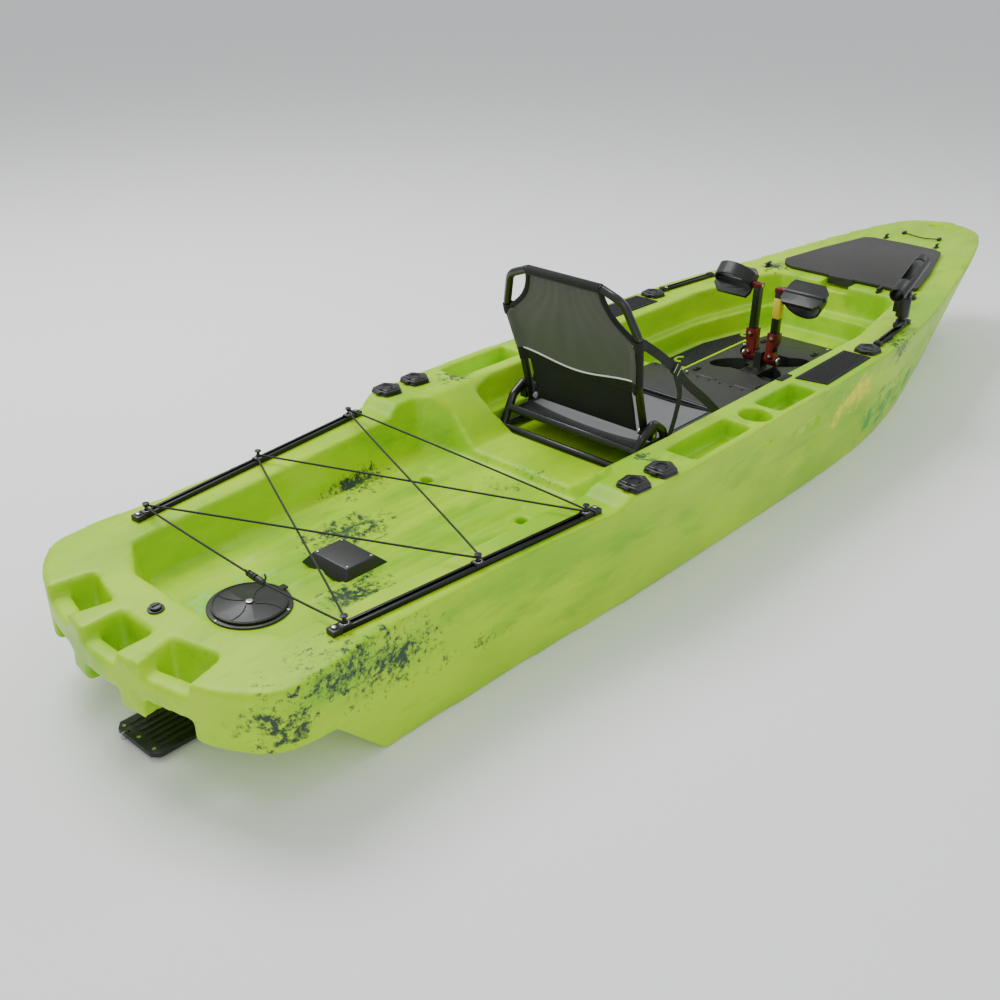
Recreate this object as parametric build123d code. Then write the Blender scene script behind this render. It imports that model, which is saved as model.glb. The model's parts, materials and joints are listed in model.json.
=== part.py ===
from build123d import *
import os
from math import atan2, cos, degrees, hypot, radians, sin

# A pedal-drive sit-on-top boat. +X points to the bow, +Y to port, +Z up.
# The origin is under the middle of the hull, on the surface it rests on. Millimetres.

# ---------------------------------------------------------------- hull
LENGTH = 3950.0
TOP_BEAM = 946.0            # beam of the top outline, at TOP_Z
TOP_Z = 410.0
WALL = 6.0                  # moulded wall
END_PULL = 0.5              # how hard the outline is held square across bow and stern
HALF = LENGTH / 2

# outlines as shares of the half length and of the half top beam, bow to stern
TOP_PLAN = [(1.0, 0.0), (0.988, 0.19), (0.958, 0.33), (0.905, 0.435), (0.84, 0.52), (0.73, 0.64),
            (0.6, 0.755), (0.45, 0.885), (0.3, 0.965), (0.13, 1.0), (-0.16, 1.0), (-0.39, 0.995),
            (-0.48, 0.945), (-0.6, 0.88), (-0.72, 0.845), (-0.82, 0.84), (-0.88, 0.865),
            (-0.93, 0.84), (-0.962, 0.7), (-0.985, 0.42), (-1.0, 0.0)]
KEEL_PLAN = [(0.965, 0.0), (0.952, 0.075), (0.915, 0.15), (0.85, 0.24), (0.77, 0.345), (0.68, 0.45),
             (0.54, 0.605), (0.4, 0.735), (0.25, 0.82), (0.05, 0.85), (-0.2, 0.85), (-0.39, 0.84),
             (-0.48, 0.825), (-0.6, 0.805), (-0.72, 0.795), (-0.82, 0.8), (-0.88, 0.815),
             (-0.927, 0.785), (-0.96, 0.65), (-0.984, 0.39), (-0.999, 0.0)]

STERN_DECK_Z = 284.0
TRACK_DECK_Z = 303.0        # side deck at the aft end of the rear track
SHOULDER_Z = 343.0          # side deck at the rod holders
FRONT_DECK_Z = 357.0
BOW_DECK_Z = 410.0
OVERHANG_Z = 150.0          # underside of the stern overhang

SHEER = [(-HALF - 20, STERN_DECK_Z), (-HALF + 290, TRACK_DECK_Z), (-890, 317), (-858, SHOULDER_Z),
         (390, 349), (960, FRONT_DECK_Z), (HALF + 20, BOW_DECK_Z + 1)]
ROCKER = [(-HALF - 20, OVERHANG_Z + 18), (-HALF + 90, OVERHANG_Z), (-HALF + 262, OVERHANG_Z - 10),
          (-HALF + 372, 30), (-HALF + 402, 0), (HALF - 700, 0), (HALF - 380, 20),
          (HALF - 190, 62), (HALF - 80, 135), (HALF - 24, 240), (HALF + 20, 380)]

# ---------------------------------------------------------------- wells in the deck
DRAFT = 6.0                 # degrees
COCKPIT_FLOOR = 182.0
SEAT_FLOOR = 205.0
COAMING_Z = 222.0           # raised rim of the centre hatch
COAMING_AFT = -62.0
COAMING_FWD = 168.0
COCKPIT_AFT = -575.0
COCKPIT_FWD = 985.0
COCKPIT_HALF = 262.0        # half width at the floor
LEDGE_Z = 255.0
LEDGE_WIDTH = 36.0
TANK_FLOOR = 200.0
TANK_AFT = -HALF + 215
TANK_FWD = -745.0
TANK_HALF_AFT = 235.0
TANK_HALF_FWD = 300.0
SADDLE_Z = 226.0            # low middle of the bulkhead behind the seat
SADDLE_HALF = 165.0
RIB_DEPTH = 6.0
RIB_WIDTH = 26.0

CHANNEL_R = 118.0           # half-round keel channel that holds the folded fins
CHANNEL_AFT = -140.0
CHANNEL_FWD = 1160.0
DRIVE_X = 505.0
WELL_LENGTH = 230.0
WELL_HALF = 58.0
WELL_CUP_Z = 140.0          # floor of the shallow lobes around the drive

SCUPPER_R = 17.0
TANK_SCUPPER = (-915.0, 164.0)
SEAT_SCUPPER = (-140.0, 184.0)

CUP_R = 45.0
CUP = (-241.0, 402.0)
CUP_FLOOR = 265.0
AFT_TRAY = (-590.0, -318.0, 352.0, 436.0)
FRONT_TRAY = (-172.0, 35.0, 356.0, 436.0)
TRAY_DEPTH = 52.0

ROD_R = 21.5
ROD_DEPTH = 205.0
ROD_LEAN_AFT = 0.33
ROD_LEAN_IN = 0.16
ROD_HOLDERS = {"aft": (-812.0, 417.0), "mid": (-704.0, 418.0), "front": (428.0, 398.0)}

BOW_HATCH_AFT = HALF - 945
BOW_HATCH_FWD = HALF - 434
BOW_HATCH_HALF_AFT = 262.0
BOW_HATCH_HALF_FWD = 158.0
BOW_WELL_DEPTH = 165.0
LID_OVERLAP = 28.0
NOTCH_HALF = 52.0           # finger notch under the bow lid's aft edge
NOTCH_DEPTH = 24.0
CENTRE_WELL_Z = 140.0

ROUND_HATCH_X = -HALF + 360
ROUND_WELL_R = 71.0
ROUND_WELL_DEPTH = 48.0

GRIP_BAR = 36.0
GRIP_TOP = 258.0
GRIP_BOTTOM = 205.0
GRIP_SLOT = 54.0
STEM_DISH = (HALF - 78, 52.0, 34.0)

# ---------------------------------------------------------------- fittings
GAP = 0.3                   # clearance between separate pieces that nearly touch
TRACK_W = 22.0
TRACK_H = 11.0
SLOT_W = 8.0
REAR_TRACK = (-HALF + 328, -955.0, 64.0, 32.0)   # ends, then how far inboard each end is
FRONT_TRACK = (502.0, 740.0, 52.0, 52.0)
CORD_R = 2.5
BUNGEE_POST_R = 4.0
SCREW_R = 3.2
PLATE_T = 5.0
PAD_T = 4.0

# seat
TUBE_R = 12.0
BACK_TUBE_R = 11.0
SEAT_HALF = 224.0
BACK_HALF = 197.0
SEAT_BAR_X = -549.0
SEAT_FRONT_X = -118.0
RAIL_Z = 262.0
PIVOT = (-458.0, 297.0)
BACK_RAKE = 17.5            # degrees from upright
BACK_HEIGHT = 425.0         # from the pivot, along the rake
FABRIC_T = 6.0

# drive
PIVOT_Z = 206.0
MAST_Y = 40.0
MAST_W = 24.0
MAST_TOP = 452.0
PEDAL_Y = 128.0
PEDAL_W = 138.0
PEDAL_H = 104.0
FIN_AXIS_Z = 60.0
FIN_LENGTH = 400.0
FIN_CHORD = 92.0
DRUM_R = 30.0
DRUM_OFFSET = 62.0
PORT_PEDAL_TILT = 42.0
STAR_PEDAL_TILT = -120.0

# small fittings
BOTTOM = (Align.CENTER, Align.CENTER, Align.MIN)
END_CAP_L = 22.0
BUNGEE_POSTS = (-1635.0, -1296.0, -973.0)
GASKET_T = 3.0
LID_T = 12.0
HANDLE_X = 1704.0
HANDLE_CORD_R = 2.0
SOUNDER = (-1352.0, -10.0, TANK_FLOOR)
SOUNDER_L = 138.0
SOUNDER_W = 152.0
SOUNDER_H = 30.0
DRAIN_X = -HALF + 141
LINER_T = 4.0
REAR_CROSS_X = -523.0
SHOULDER = 300.0            # height of the widest point of the back, along the rake
BOLT_R = 5.0
STRAP_W = 25.0
STRAP_T = 2.0
STRAP_BUCKLE = (-395.0, 470.0)
STRAP_FRONT = (-140.0, 262.0)
AXLE_R = 8.0
PIN_R = 6.0
PEDAL_Z = 446.0
HEAD_TOP = 44.0
REST_RISE = 16.0            # how far the rod rest's tube rises towards the bow, degrees

# rudder
STEER_X = -HALF + 332
BLADE_Z = 16.0
BLADE_T = 11.0
BLADE_HALF = 73.0
BLADE_ROOT = 26.0
BLADE_TIP = 246.0

# rod rest on the starboard front track
REST_X = 692.0
REST_TUBE_R = 24.0
REST_TUBE_L = 224.0


# ---------------------------------------------------------------- helpers
def box(x0, x1, y0, y1, z0, z1):
    return Pos((x0 + x1) / 2, (y0 + y1) / 2, (z0 + z1) / 2) * Box(x1 - x0, y1 - y0, z1 - z0)


def rod(a, b, r):
    a, b = Vector(*a), Vector(*b)
    plane = Plane(origin=a, z_dir=b - a)
    return extrude(plane * Circle(r), (b - a).length)


def disc(x, y, z0, z1, r):
    return rod((x, y, z0), (x, y, z1), r)


def ring(x, y, z0, z1, r_out, r_in):
    return disc(x, y, z0, z1, r_out) - disc(x, y, z0 - 1, z1 + 1, r_in)


def bent_tube(points, r, bend):
    path = FilletPolyline(*points, radius=bend)
    start = Plane(origin=path @ 0, z_dir=path % 0)
    return sweep(start * Circle(r), path=path)


def other_side(shape):
    return mirror(shape, about=Plane.XZ)


def both(shape):
    return [shape, other_side(shape)]


def interpolate(table, x):
    for (x0, v0), (x1, v1) in zip(table, table[1:]):
        if min(x0, x1) <= x <= max(x0, x1):
            return v0 + (v1 - v0) * (x - x0) / (x1 - x0)
    return table[-1][1] if x > max(t[0] for t in table) else table[0][1]


def deck_z(x):
    return interpolate(SHEER, x)


def deck_slope(x):
    return degrees(atan2(deck_z(x + 5) - deck_z(x - 5), 10))


def half_width(x):
    share = deck_z(x) / TOP_Z
    top = interpolate(TOP_PLAN, x / HALF) * TOP_BEAM / 2
    keel = interpolate(KEEL_PLAN, x / HALF) * TOP_BEAM / 2
    return keel + (top - keel) * share


def on_deck(x, y):
    """A location on the side deck, its X along the deck's slope."""
    return Location((x, y, deck_z(x)), (0, -deck_slope(x), 0))


def track_y(x, track):
    """Centre line of a straight track set inboard of the deck's edge."""
    x0, x1, inset0, inset1 = track
    y0 = half_width(x0) - inset0
    y1 = half_width(x1) - inset1
    return y0 + (y1 - y0) * (x - x0) / (x1 - x0)


def prism(points, z0, z1, grow=0.0, draft=0.0):
    """An upright prism on a closed outline; its sides open upwards by the draft."""
    face = make_face(Polyline(*[(x, y) for x, y in points], close=True))
    if grow:
        face = offset(face, grow, kind=Kind.INTERSECTION)
    return extrude(Pos(0, 0, z0) * face, z1 - z0, taper=-draft)


def lengthwise(points, x0, x1):
    """A prism along X on an outline of (y, z) points."""
    face = make_face(Polyline(*[(x0, y, z) for y, z in points], close=True))
    return extrude(face, x1 - x0, dir=(1, 0, 0))


def crosswise(points, y0, y1):
    """A prism along Y on an outline of (x, z) points."""
    face = make_face(Polyline(*[(x, y0, z) for x, z in points], close=True))
    return extrude(face, y1 - y0, dir=(0, 1, 0))


# ---------------------------------------------------------------- the hull
def outline(plan, z, inset):
    half = TOP_BEAM / 2
    port = [(x * HALF - inset * x / abs(x), max(y * half - inset, 0.0), z) for x, y in plan]
    side = Spline(*port, tangents=[(0, 1, 0), (0, -1, 0)], tangent_scalars=[END_PULL, END_PULL])
    return make_face(side + other_side(side))


def moulding(inset):
    body = loft([outline(KEEL_PLAN, 0, inset), outline(TOP_PLAN, TOP_Z + 5, inset)], ruled=True)
    above = SHEER + [(HALF + 20, 600), (-HALF - 20, 600)]
    below = ROCKER + [(HALF + 20, -100), (-HALF - 20, -100)]
    above = [(x, z - inset) if z < 600 else (x, z) for x, z in above]
    below = [(x, z + inset) if z > -100 else (x, z) for x, z in below]
    return body - [crosswise(above, -600, 600), crosswise(below, -600, 600)]


def cockpit(grow):
    c, f = COCKPIT_HALF, COCKPIT_FWD
    legs = [(COAMING_FWD, c), (520, c), (f - 95, 190), (f - 70, 150)]
    legs = legs + [(x, -y) for x, y in reversed(legs)]
    step = [(COAMING_AFT - 20, c), (COAMING_FWD + 20, c), (COAMING_FWD + 20, -c), (COAMING_AFT - 20, -c)]
    seat = [(COCKPIT_AFT, c - 14), (COAMING_AFT, c), (COAMING_AFT, -c), (COCKPIT_AFT, 14 - c)]
    w = c + LEDGE_WIDTH
    upper = [(COCKPIT_AFT - 12, w - 14), (COCKPIT_AFT + 60, w), (560, w), (f - 60, 236), (f - 18, 205)]
    upper = upper + [(x, -y) for x, y in reversed(upper)]
    top = TOP_Z + 30
    return [prism(legs, COCKPIT_FLOOR - grow, top, grow, DRAFT),
            prism(seat, SEAT_FLOOR - grow, top, grow, DRAFT),
            prism(step, COAMING_Z - grow, top, grow, DRAFT),
            prism(upper, LEDGE_Z - grow, top, grow, DRAFT)]


def tank(grow):
    a, f = TANK_HALF_AFT, TANK_HALF_FWD
    plan = [(TANK_AFT, a - 90), (TANK_AFT + 55, a), (TANK_FWD - 60, f), (TANK_FWD, f - 50)]
    plan = plan + [(x, -y) for x, y in reversed(plan)]
    return [prism(plan, TANK_FLOOR - grow, TOP_Z, grow, 2.5 * DRAFT)]


def saddle(grow):
    s = SADDLE_HALF + grow
    rise = SHOULDER_Z + 40 - SADDLE_Z
    low = SADDLE_Z - grow
    profile = [(-s, low), (s, low), (s + 1.25 * rise, low + rise), (-s - 1.25 * rise, low + rise)]
    return [lengthwise(profile, TANK_FWD - 30, COCKPIT_AFT + 60)]


def tank_ribs():
    grooves = []
    for i in range(6):
        y = (i - 2.5) * 82
        grooves.append(box(TANK_AFT + 330, TANK_FWD - 110, y - RIB_WIDTH / 2, y + RIB_WIDTH / 2,
                           TANK_FLOOR - RIB_DEPTH, TANK_FLOOR + 1))
    return grooves


def lobes(grow):
    """The four-lobed outline of the opening around the drive."""
    face = Rectangle(WELL_LENGTH + 2 * grow, 2 * WELL_HALF + 2 * grow)
    for side in (-1, 1):
        for end in (-1, 1):
            face += Pos(end * 66, side * 66) * Rot(0, 0, end * side * 38) * Ellipse(84 + grow, 47 + grow)
    return Pos(DRIVE_X, 0) * face


def drive_well(grow):
    tunnel = rod((CHANNEL_AFT - grow, 0, 0), (CHANNEL_FWD + grow, 0, 0), CHANNEL_R + grow)
    shaft = box(DRIVE_X - WELL_LENGTH / 2 - grow, DRIVE_X + WELL_LENGTH / 2 + grow,
                -WELL_HALF - grow, WELL_HALF + grow, -5, COCKPIT_FLOOR + 20)
    cup = Pos(0, 0, WELL_CUP_Z - grow) * extrude(lobes(grow), 70 + grow)
    return [tunnel, shaft, cup]


def scuppers(grow):
    holes = []
    for x, y in (TANK_SCUPPER, SEAT_SCUPPER):
        holes += both(disc(x, y, -10, SEAT_FLOOR + 30, SCUPPER_R + grow))
    return holes


def side_wells(grow):
    wells = [other_side(disc(*CUP, CUP_FLOOR - grow, TOP_Z, CUP_R + grow))]
    for x0, x1, y0, y1 in (AFT_TRAY, FRONT_TRAY):
        plan = [(x0, y0), (x1, y0), (x1, y1), (x0, y1)]
        floor = SHOULDER_Z - TRAY_DEPTH - grow
        wells += both(prism(plan, floor, TOP_Z, grow, 0))
    return wells


def rod_direction(side):
    return Vector(-ROD_LEAN_AFT, -ROD_LEAN_IN * side, -1).normalized()


def rod_wells(grow):
    wells = []
    for x, y in ROD_HOLDERS.values():
        down = rod_direction(1)
        top = Vector(x, y, deck_z(x)) - down * 40
        end = Vector(x, y, deck_z(x)) + down * (ROD_DEPTH + grow)
        wells += both(rod(tuple(top), tuple(end), ROD_R + grow))
    return wells


def bow_plan(inset):
    a, f = BOW_HATCH_HALF_AFT - inset, BOW_HATCH_HALF_FWD - inset
    x0, x1 = BOW_HATCH_AFT + inset, BOW_HATCH_FWD - inset
    port = [(x1 + 6, 0), (x1, f - 30), (x1 - 20, f), ((x0 + x1) / 2, (a + f) / 2 + 12),
            (x0 + 62, a), (x0 + 20, a - 22), (x0, a - 60)]
    return port + [(x, -y) for x, y in reversed(port[1:])]


def hatch_wells(grow):
    bow = prism(bow_plan(LID_OVERLAP), FRONT_DECK_Z - BOW_WELL_DEPTH - grow, TOP_Z + 30, grow)
    round_well = disc(ROUND_HATCH_X, 0, TANK_FLOOR - ROUND_WELL_DEPTH - grow, TANK_FLOOR + 30,
                      ROUND_WELL_R + grow)
    notch = box(COCKPIT_FWD - 30, BOW_HATCH_AFT + 14 + grow, -NOTCH_HALF - grow, NOTCH_HALF + grow,
                FRONT_DECK_Z - NOTCH_DEPTH - grow, TOP_Z)
    gear = [(COAMING_AFT + 26, 166), (COAMING_FWD - 26, 166), (COAMING_FWD - 26, -166),
            (COAMING_AFT + 26, -166)]
    return [bow, round_well, notch, prism(gear, CENTRE_WELL_Z - grow, COAMING_Z + 30, grow)]


def grip_slots():
    """(middle y, half length, turn) of the three hand holes in the stern."""
    return [(0.0, 56.0, 0.0), (182.0, 60.0, -14.0), (-182.0, 60.0, 14.0)]


def grips(grow):
    cuts = []
    for y, half, turn in grip_slots():
        back = half_width_stern(y)
        place = Location((back, y, 0), (0, 0, turn))
        slot = box(GRIP_BAR - grow, GRIP_BAR + GRIP_SLOT + grow, -half - grow, half + grow, 0, TOP_Z)
        over = box(-60, GRIP_BAR + 5, -half - grow, half + grow, GRIP_TOP - grow, TOP_Z)
        under = box(-60, GRIP_BAR + 5, -half - grow, half + grow, 0, GRIP_BOTTOM + grow)
        cuts += [place * slot, place * over, place * under]
    return cuts


def half_width_stern(y):
    """The x of the stern's edge at a distance y from the centre line."""
    aft = [(x, w) for x, w in TOP_PLAN if x < -0.92]
    for (x0, w0), (x1, w1) in zip(aft, aft[1:]):
        if w1 <= abs(y) / (TOP_BEAM / 2) <= w0:
            t = (abs(y) / (TOP_BEAM / 2) - w0) / (w1 - w0)
            return (x0 + (x1 - x0) * t) * HALF + 8
    return -HALF


def rudder_bay(grow):
    return [box(-HALF + 240, STEER_X + 95 + grow, -112 - grow, 112 + grow, -5, OVERHANG_Z - 10 + grow)]


def stem_dish(grow):
    x, length, width = STEM_DISH
    dish = Pos(x, 0, deck_z(x) - 18 - grow) * extrude(Ellipse(width + grow, length + grow), 60)
    return [dish]


def side_dents(grow):
    """Carrying holds pressed into the topsides."""
    y = half_width(0) - 30 - grow
    plan = [(-95 - grow, 212 - grow), (70 + grow, 224 - grow), (70 + grow, 262 + grow),
            (-95 - grow, 256 + grow)]
    return both(crosswise(plan, y, y + 120))


def hollows(grow):
    return (cockpit(grow) + tank(grow) + saddle(grow) + drive_well(grow) + scuppers(grow)
            + side_wells(grow) + rod_wells(grow) + hatch_wells(grow) + grips(grow)
            + rudder_bay(grow) + stem_dish(grow) + side_dents(grow))


def hull():
    void = moulding(WALL) - hollows(WALL + 0.5)
    core = max(void.solids(), key=lambda s: s.volume)
    shell = moulding(0) - hollows(0)
    shell = shell - tank_ribs()
    shell = max(shell.solids(), key=lambda s: s.volume)
    return shell - core


# ---------------------------------------------------------------- tracks and bungee
def track_plane(track, x):
    x0, x1 = track[:2]
    a = Vector(x0, track_y(x0, track), deck_z(x0))
    b = Vector(x1, track_y(x1, track), deck_z(x1))
    slope = radians(deck_slope((x0 + x1) / 2))
    origin = a + (b - a) * ((x - x0) / (x1 - x0))
    return Plane(origin=origin, x_dir=b - a, z_dir=(-sin(slope), 0, cos(slope)))


def gear_track(track):
    x0, x1 = track[:2]
    length = hypot(x1 - x0, track_y(x1, track) - track_y(x0, track))
    bar = Pos(length / 2, 0, TRACK_H / 2) * Box(length, TRACK_W, TRACK_H)
    bar -= Pos(length / 2, 0, TRACK_H - 1) * Box(length + 2, SLOT_W, 6)
    bar -= Pos(length / 2, 0, TRACK_H / 2 - 0.5) * Box(length + 2, TRACK_W - 6, 5)
    return track_plane(track, x0) * bar


def end_cap(track, x, outward):
    middle = outward * (END_CAP_L / 2 + GAP)
    block = Pos(middle, 0, TRACK_H / 2 + 1) * Box(END_CAP_L, TRACK_W + 2, TRACK_H + 2)
    block += Pos(middle, 0, TRACK_H + 2) * Cylinder(6.5, 5)
    return track_plane(track, x) * block


def bungee_post(x):
    """A plate across the track with a headed post that the cord goes round."""
    plate = Pos(0, 0, TRACK_H + 1.5) * Box(24, TRACK_W, 3)
    post = Pos(0, 0, TRACK_H + 2) * Cylinder(BUNGEE_POST_R, 17, align=BOTTOM)
    head = Pos(0, 0, TRACK_H + 18.5) * Cylinder(BUNGEE_POST_R + 4, 3, align=BOTTOM)
    return track_plane(REAR_TRACK, x) * (plate + post + head)


# the elastic cord: two points at each post that it goes round, ends at the adjuster
BUNGEE_ROUTE = [
    (-1655.0, -116.0, 323.0), (-1641.6, -338.1, 321.0), (-1631.0, -340.0, 321.0),
    (-1300.4, 373.8, 327.0), (-1291.2, 373.6, 327.0),
    (-977.3, -407.5, 333.0), (-965.9, -405.2, 333.0),
    (-965.9, 405.2, 341.0), (-977.3, 407.5, 341.0),
    (-1291.2, -373.6, 335.5), (-1300.4, -373.8, 335.5),
    (-1631.0, 340.2, 329.0), (-1641.9, 337.9, 329.0), (-1651.0, -52.0, 323.0)]


def bungee_adjuster():
    """The sleeve that joins the two ends of the elastic cord."""
    a, b = Vector(*BUNGEE_ROUTE[0]), Vector(*BUNGEE_ROUTE[-1])
    along = (b - a).normalized()
    return rod(tuple(a + along * 0.4), tuple(b - along * 0.2), 8)


def bungee():
    radii = [BUNGEE_POST_R + CORD_R + 2 * GAP] * (len(BUNGEE_ROUTE) - 2)
    path = FilletPolyline(*BUNGEE_ROUTE, radius=radii)
    start = Plane(origin=path @ 0, z_dir=path % 0)
    return sweep(start * Circle(CORD_R), path=path)


# ---------------------------------------------------------------- rod holders
def cap_outline(grow):
    """Five-sided, one corner forward, rounded corners."""
    points = [(30, 0), (12, 26), (-26, 22), (-26, -22), (12, -26)]
    return offset(make_face(Polyline(*points, close=True)), 9 + grow)


def rod_flange(x, y):
    plate = extrude(cap_outline(2), PLATE_T) - Pos(0, 0, -1) * extrude(Circle(ROD_R + 2), PLATE_T + 2)
    return on_deck(x, y) * plate


def rod_cap(x, y):
    lid = extrude(cap_outline(0), 8)
    lid = chamfer(lid.faces().sort_by(Axis.Z)[-1].edges(), 2)
    tab = Pos(-38, 0, 3) * Box(12, 20, 6)
    return on_deck(x, y) * Pos(0, 0, PLATE_T) * (lid + tab)


# ---------------------------------------------------------------- hatches and deck fittings
def on_bow(shape):
    return Location((BOW_HATCH_AFT, 0, deck_z(BOW_HATCH_AFT)), (0, -deck_slope(HALF - 500), 0)) * shape


def bow_sheet(inset, z0, z1):
    plan = [(x - BOW_HATCH_AFT, y) for x, y in bow_plan(inset)]
    return prism(plan, z0, z1)


def bow_lid():
    lid = bow_sheet(0, GASKET_T, GASKET_T + LID_T)
    tab = box(-10, 0, -NOTCH_HALF + 6, NOTCH_HALF - 6, -NOTCH_DEPTH + 6, GASKET_T + LID_T)
    inside = bow_sheet(6, GASKET_T - 1, GASKET_T + LID_T - 5)
    return on_bow(lid - inside + bow_sheet(LID_OVERLAP - 6, GASKET_T, GASKET_T + LID_T) + tab)


def bow_gasket():
    return on_bow(bow_sheet(8, 0, GASKET_T) - bow_sheet(LID_OVERLAP - 5, -1, GASKET_T + 1))


def hook(x, y):
    base = Pos(0, 0, 2) * Box(26, 13, 4)
    horn = Pos(3, 0, 7) * Box(10, 8, 7) + Pos(9, 0, 12) * Box(22, 8, 4)
    return on_deck(x, y) * (base + horn)


def deck_cleat(x, y):
    base = extrude(Ellipse(22, 9), 4)
    arms = Pos(0, 0, 8) * Box(14, 8, 9) + Pos(0, 0, 13) * Box(36, 8, 5)
    return on_deck(x, y) * (base + arms)


def toggle(y):
    block = Pos(0, 0, 5) * Box(24, 12, 10)
    return on_deck(HANDLE_X, y) * block


HANDLE_ROUTE = [(1704.0, 65.15, 400.0), (1698.0, 42.0, 399.2), (1690.0, 16.0, 398.6), (1684.0, -12.0, 398.4),
                (1691.0, -38.0, 398.8), (1704.0, -65.15, 400.0)]


def handle_cord():
    radii = [40, 60, 45, 40]
    path = FilletPolyline(*HANDLE_ROUTE, radius=radii)
    start = Plane(origin=path @ 0, z_dir=path % 0)
    return sweep(start * Circle(HANDLE_CORD_R), path=path)


def round_hatch_ring():
    return ring(ROUND_HATCH_X, 0, TANK_FLOOR, TANK_FLOOR + 5, 92, ROUND_WELL_R + 0.5)


def round_hatch_lid():
    z = TANK_FLOOR + 5
    lid = disc(ROUND_HATCH_X, 0, z, z + 6, 82) + disc(ROUND_HATCH_X, 0, z + 5, z + 9, 9)
    skirt = ring(ROUND_HATCH_X, 0, z - 26, z + 1, ROUND_WELL_R - 0.5, ROUND_WELL_R - 5)
    handle = box(ROUND_HATCH_X + 74, ROUND_HATCH_X + 98, -8, 8, z, z + 5)
    return lid + skirt + handle


def round_hatch_screws():
    z = TANK_FLOOR + 5
    places = [Vector(87.5, 0, 0).rotate(Axis.Z, 60 + 120 * i) for i in range(3)]
    return [disc(ROUND_HATCH_X + p.X, p.Y, z, z + 1.6, 3.4) for p in places]


def sounder_box():
    x, y, z = SOUNDER
    base = Pos(x, y, z) * Rectangle(SOUNDER_L, SOUNDER_W)
    top = Pos(x - 8, y - 6, z + SOUNDER_H) * Rectangle(SOUNDER_L - 52, SOUNDER_W - 38)
    return loft([base, top])


def sounder_screws():
    x, y, z = SOUNDER
    heads = []
    for sx in (-1, 1):
        for sy in (-1, 1):
            px = x - 8 + sx * (SOUNDER_L / 2 - 33)
            py = y - 6 + sy * (SOUNDER_W / 2 - 26)
            heads.append(disc(px, py, z + SOUNDER_H, z + SOUNDER_H + 1.8, SCREW_R))
    return heads


def drain_seat():
    return on_deck(DRAIN_X, 0) * (Cylinder(17, 4, align=BOTTOM) - Cylinder(9.2, 20))


def drain_plug():
    head = Pos(0, 0, 4) * Cylinder(12, 6, align=BOTTOM) - Pos(0, 0, 9) * Box(18, 4, 4)
    stem = Pos(0, 0, 0.4) * Cylinder(9, 5, align=BOTTOM)
    return on_deck(DRAIN_X, 0) * (head + stem)


def scupper_plug():
    x, y = SEAT_SCUPPER
    stem = Pos(x, y, SEAT_FLOOR - 34) * Cone(SCUPPER_R - 5, SCUPPER_R - 0.5, 34, align=BOTTOM)
    brim = disc(x, y, SEAT_FLOOR, SEAT_FLOOR + 4, SCUPPER_R + 6)
    loop = ring(x, y, SEAT_FLOOR + 3, SEAT_FLOOR + 12, 7, 4)
    return stem + brim + loop


def centre_lid():
    x0, x1 = COAMING_AFT + 2, COAMING_FWD - 8
    plate = box(x0, x1, -198, 198, COAMING_Z, COAMING_Z + 8)
    return fillet(plate.edges().filter_by(Axis.Z), 14)


def centre_hinge_pins():
    """Hinge barrels along the front edge and the rivets beside the seat."""
    barrels = [rod((COAMING_FWD - 2, y, COAMING_Z + 5), (COAMING_FWD - 2, y + 70, COAMING_Z + 5), 5)
               for y in (-170, -35, 100)]
    return barrels


def centre_rivets():
    z = COAMING_Z + 8
    row = [disc(COAMING_FWD - 20, -180 + 40 * i, z, z + 2, 4) for i in range(10)]
    side = [disc(COAMING_AFT + 50 + 42 * i, -184, z, z + 2.5, 5) for i in range(3)]
    return row + side


def gunwale_pad():
    x0, x1 = 64.0, 376.0
    z = deck_z(0)
    plan = [(x0, half_width(x0) - 112), (x1, half_width(x1) - 112), (x1, half_width(x1) - 24),
            (x0 + 20, half_width(x0) - 20)]
    plate = prism([(x, y) for x, y in plan], 0, PAD_T)
    return Location((0, 0, z), (0, -deck_slope(200), 0)) * plate


def foot_mat():
    plan = [(300, 166), (782, 166), (782, 196), (540, 246), (300, 246)]
    mat = prism(plan, COCKPIT_FLOOR, COCKPIT_FLOOR + PAD_T)
    return mat - [disc(340, 206, COCKPIT_FLOOR - 1, COCKPIT_FLOOR + 9, 24),
                  disc(716, 182, COCKPIT_FLOOR - 1, COCKPIT_FLOOR + 9, 20)]


def drive_plate():
    plan = [(226, 150), (640, 150), (802, 118)]
    plan = plan + [(x, -y) for x, y in reversed(plan)]
    plate = prism(plan, COCKPIT_FLOOR, COCKPIT_FLOOR + PLATE_T)
    return plate - Pos(0, 0, COCKPIT_FLOOR - 1) * extrude(lobes(-LINER_T), 20)


def drive_liner():
    """The dark cup that lines the lobed opening; the drive drops through its slot."""
    outside = Pos(0, 0, WELL_CUP_Z) * extrude(lobes(-GAP), COCKPIT_FLOOR - WELL_CUP_Z)
    inside = Pos(0, 0, WELL_CUP_Z + LINER_T) * extrude(lobes(-LINER_T), 80)
    slot = box(DRIVE_X - WELL_LENGTH / 2 + 6, DRIVE_X + WELL_LENGTH / 2 - 6,
               -WELL_HALF + 6, WELL_HALF - 6, 0, 300)
    return outside - inside - slot


def slot_pad():
    return on_deck(48, half_width(48) - 138) * (Pos(0, 0, 1.5) * Box(62, 20, 3))


# ---------------------------------------------------------------- rod rest
def rest_place():
    return track_plane(FRONT_TRACK, REST_X)


def rest_base():
    foot = Pos(0, 0, TRACK_H + 3) * Box(44, TRACK_W, 6)
    boss = Pos(0, 0, TRACK_H + 6) * Cylinder(17, 12, align=BOTTOM)
    knob = Pos(-36, 0, TRACK_H + 10) * extrude(Ellipse(30, 11), 8)
    neck = Pos(-10, 0, TRACK_H + 13) * Box(16, 12, 6)
    return other_side(rest_place() * (foot + boss + knob + neck))


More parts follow.
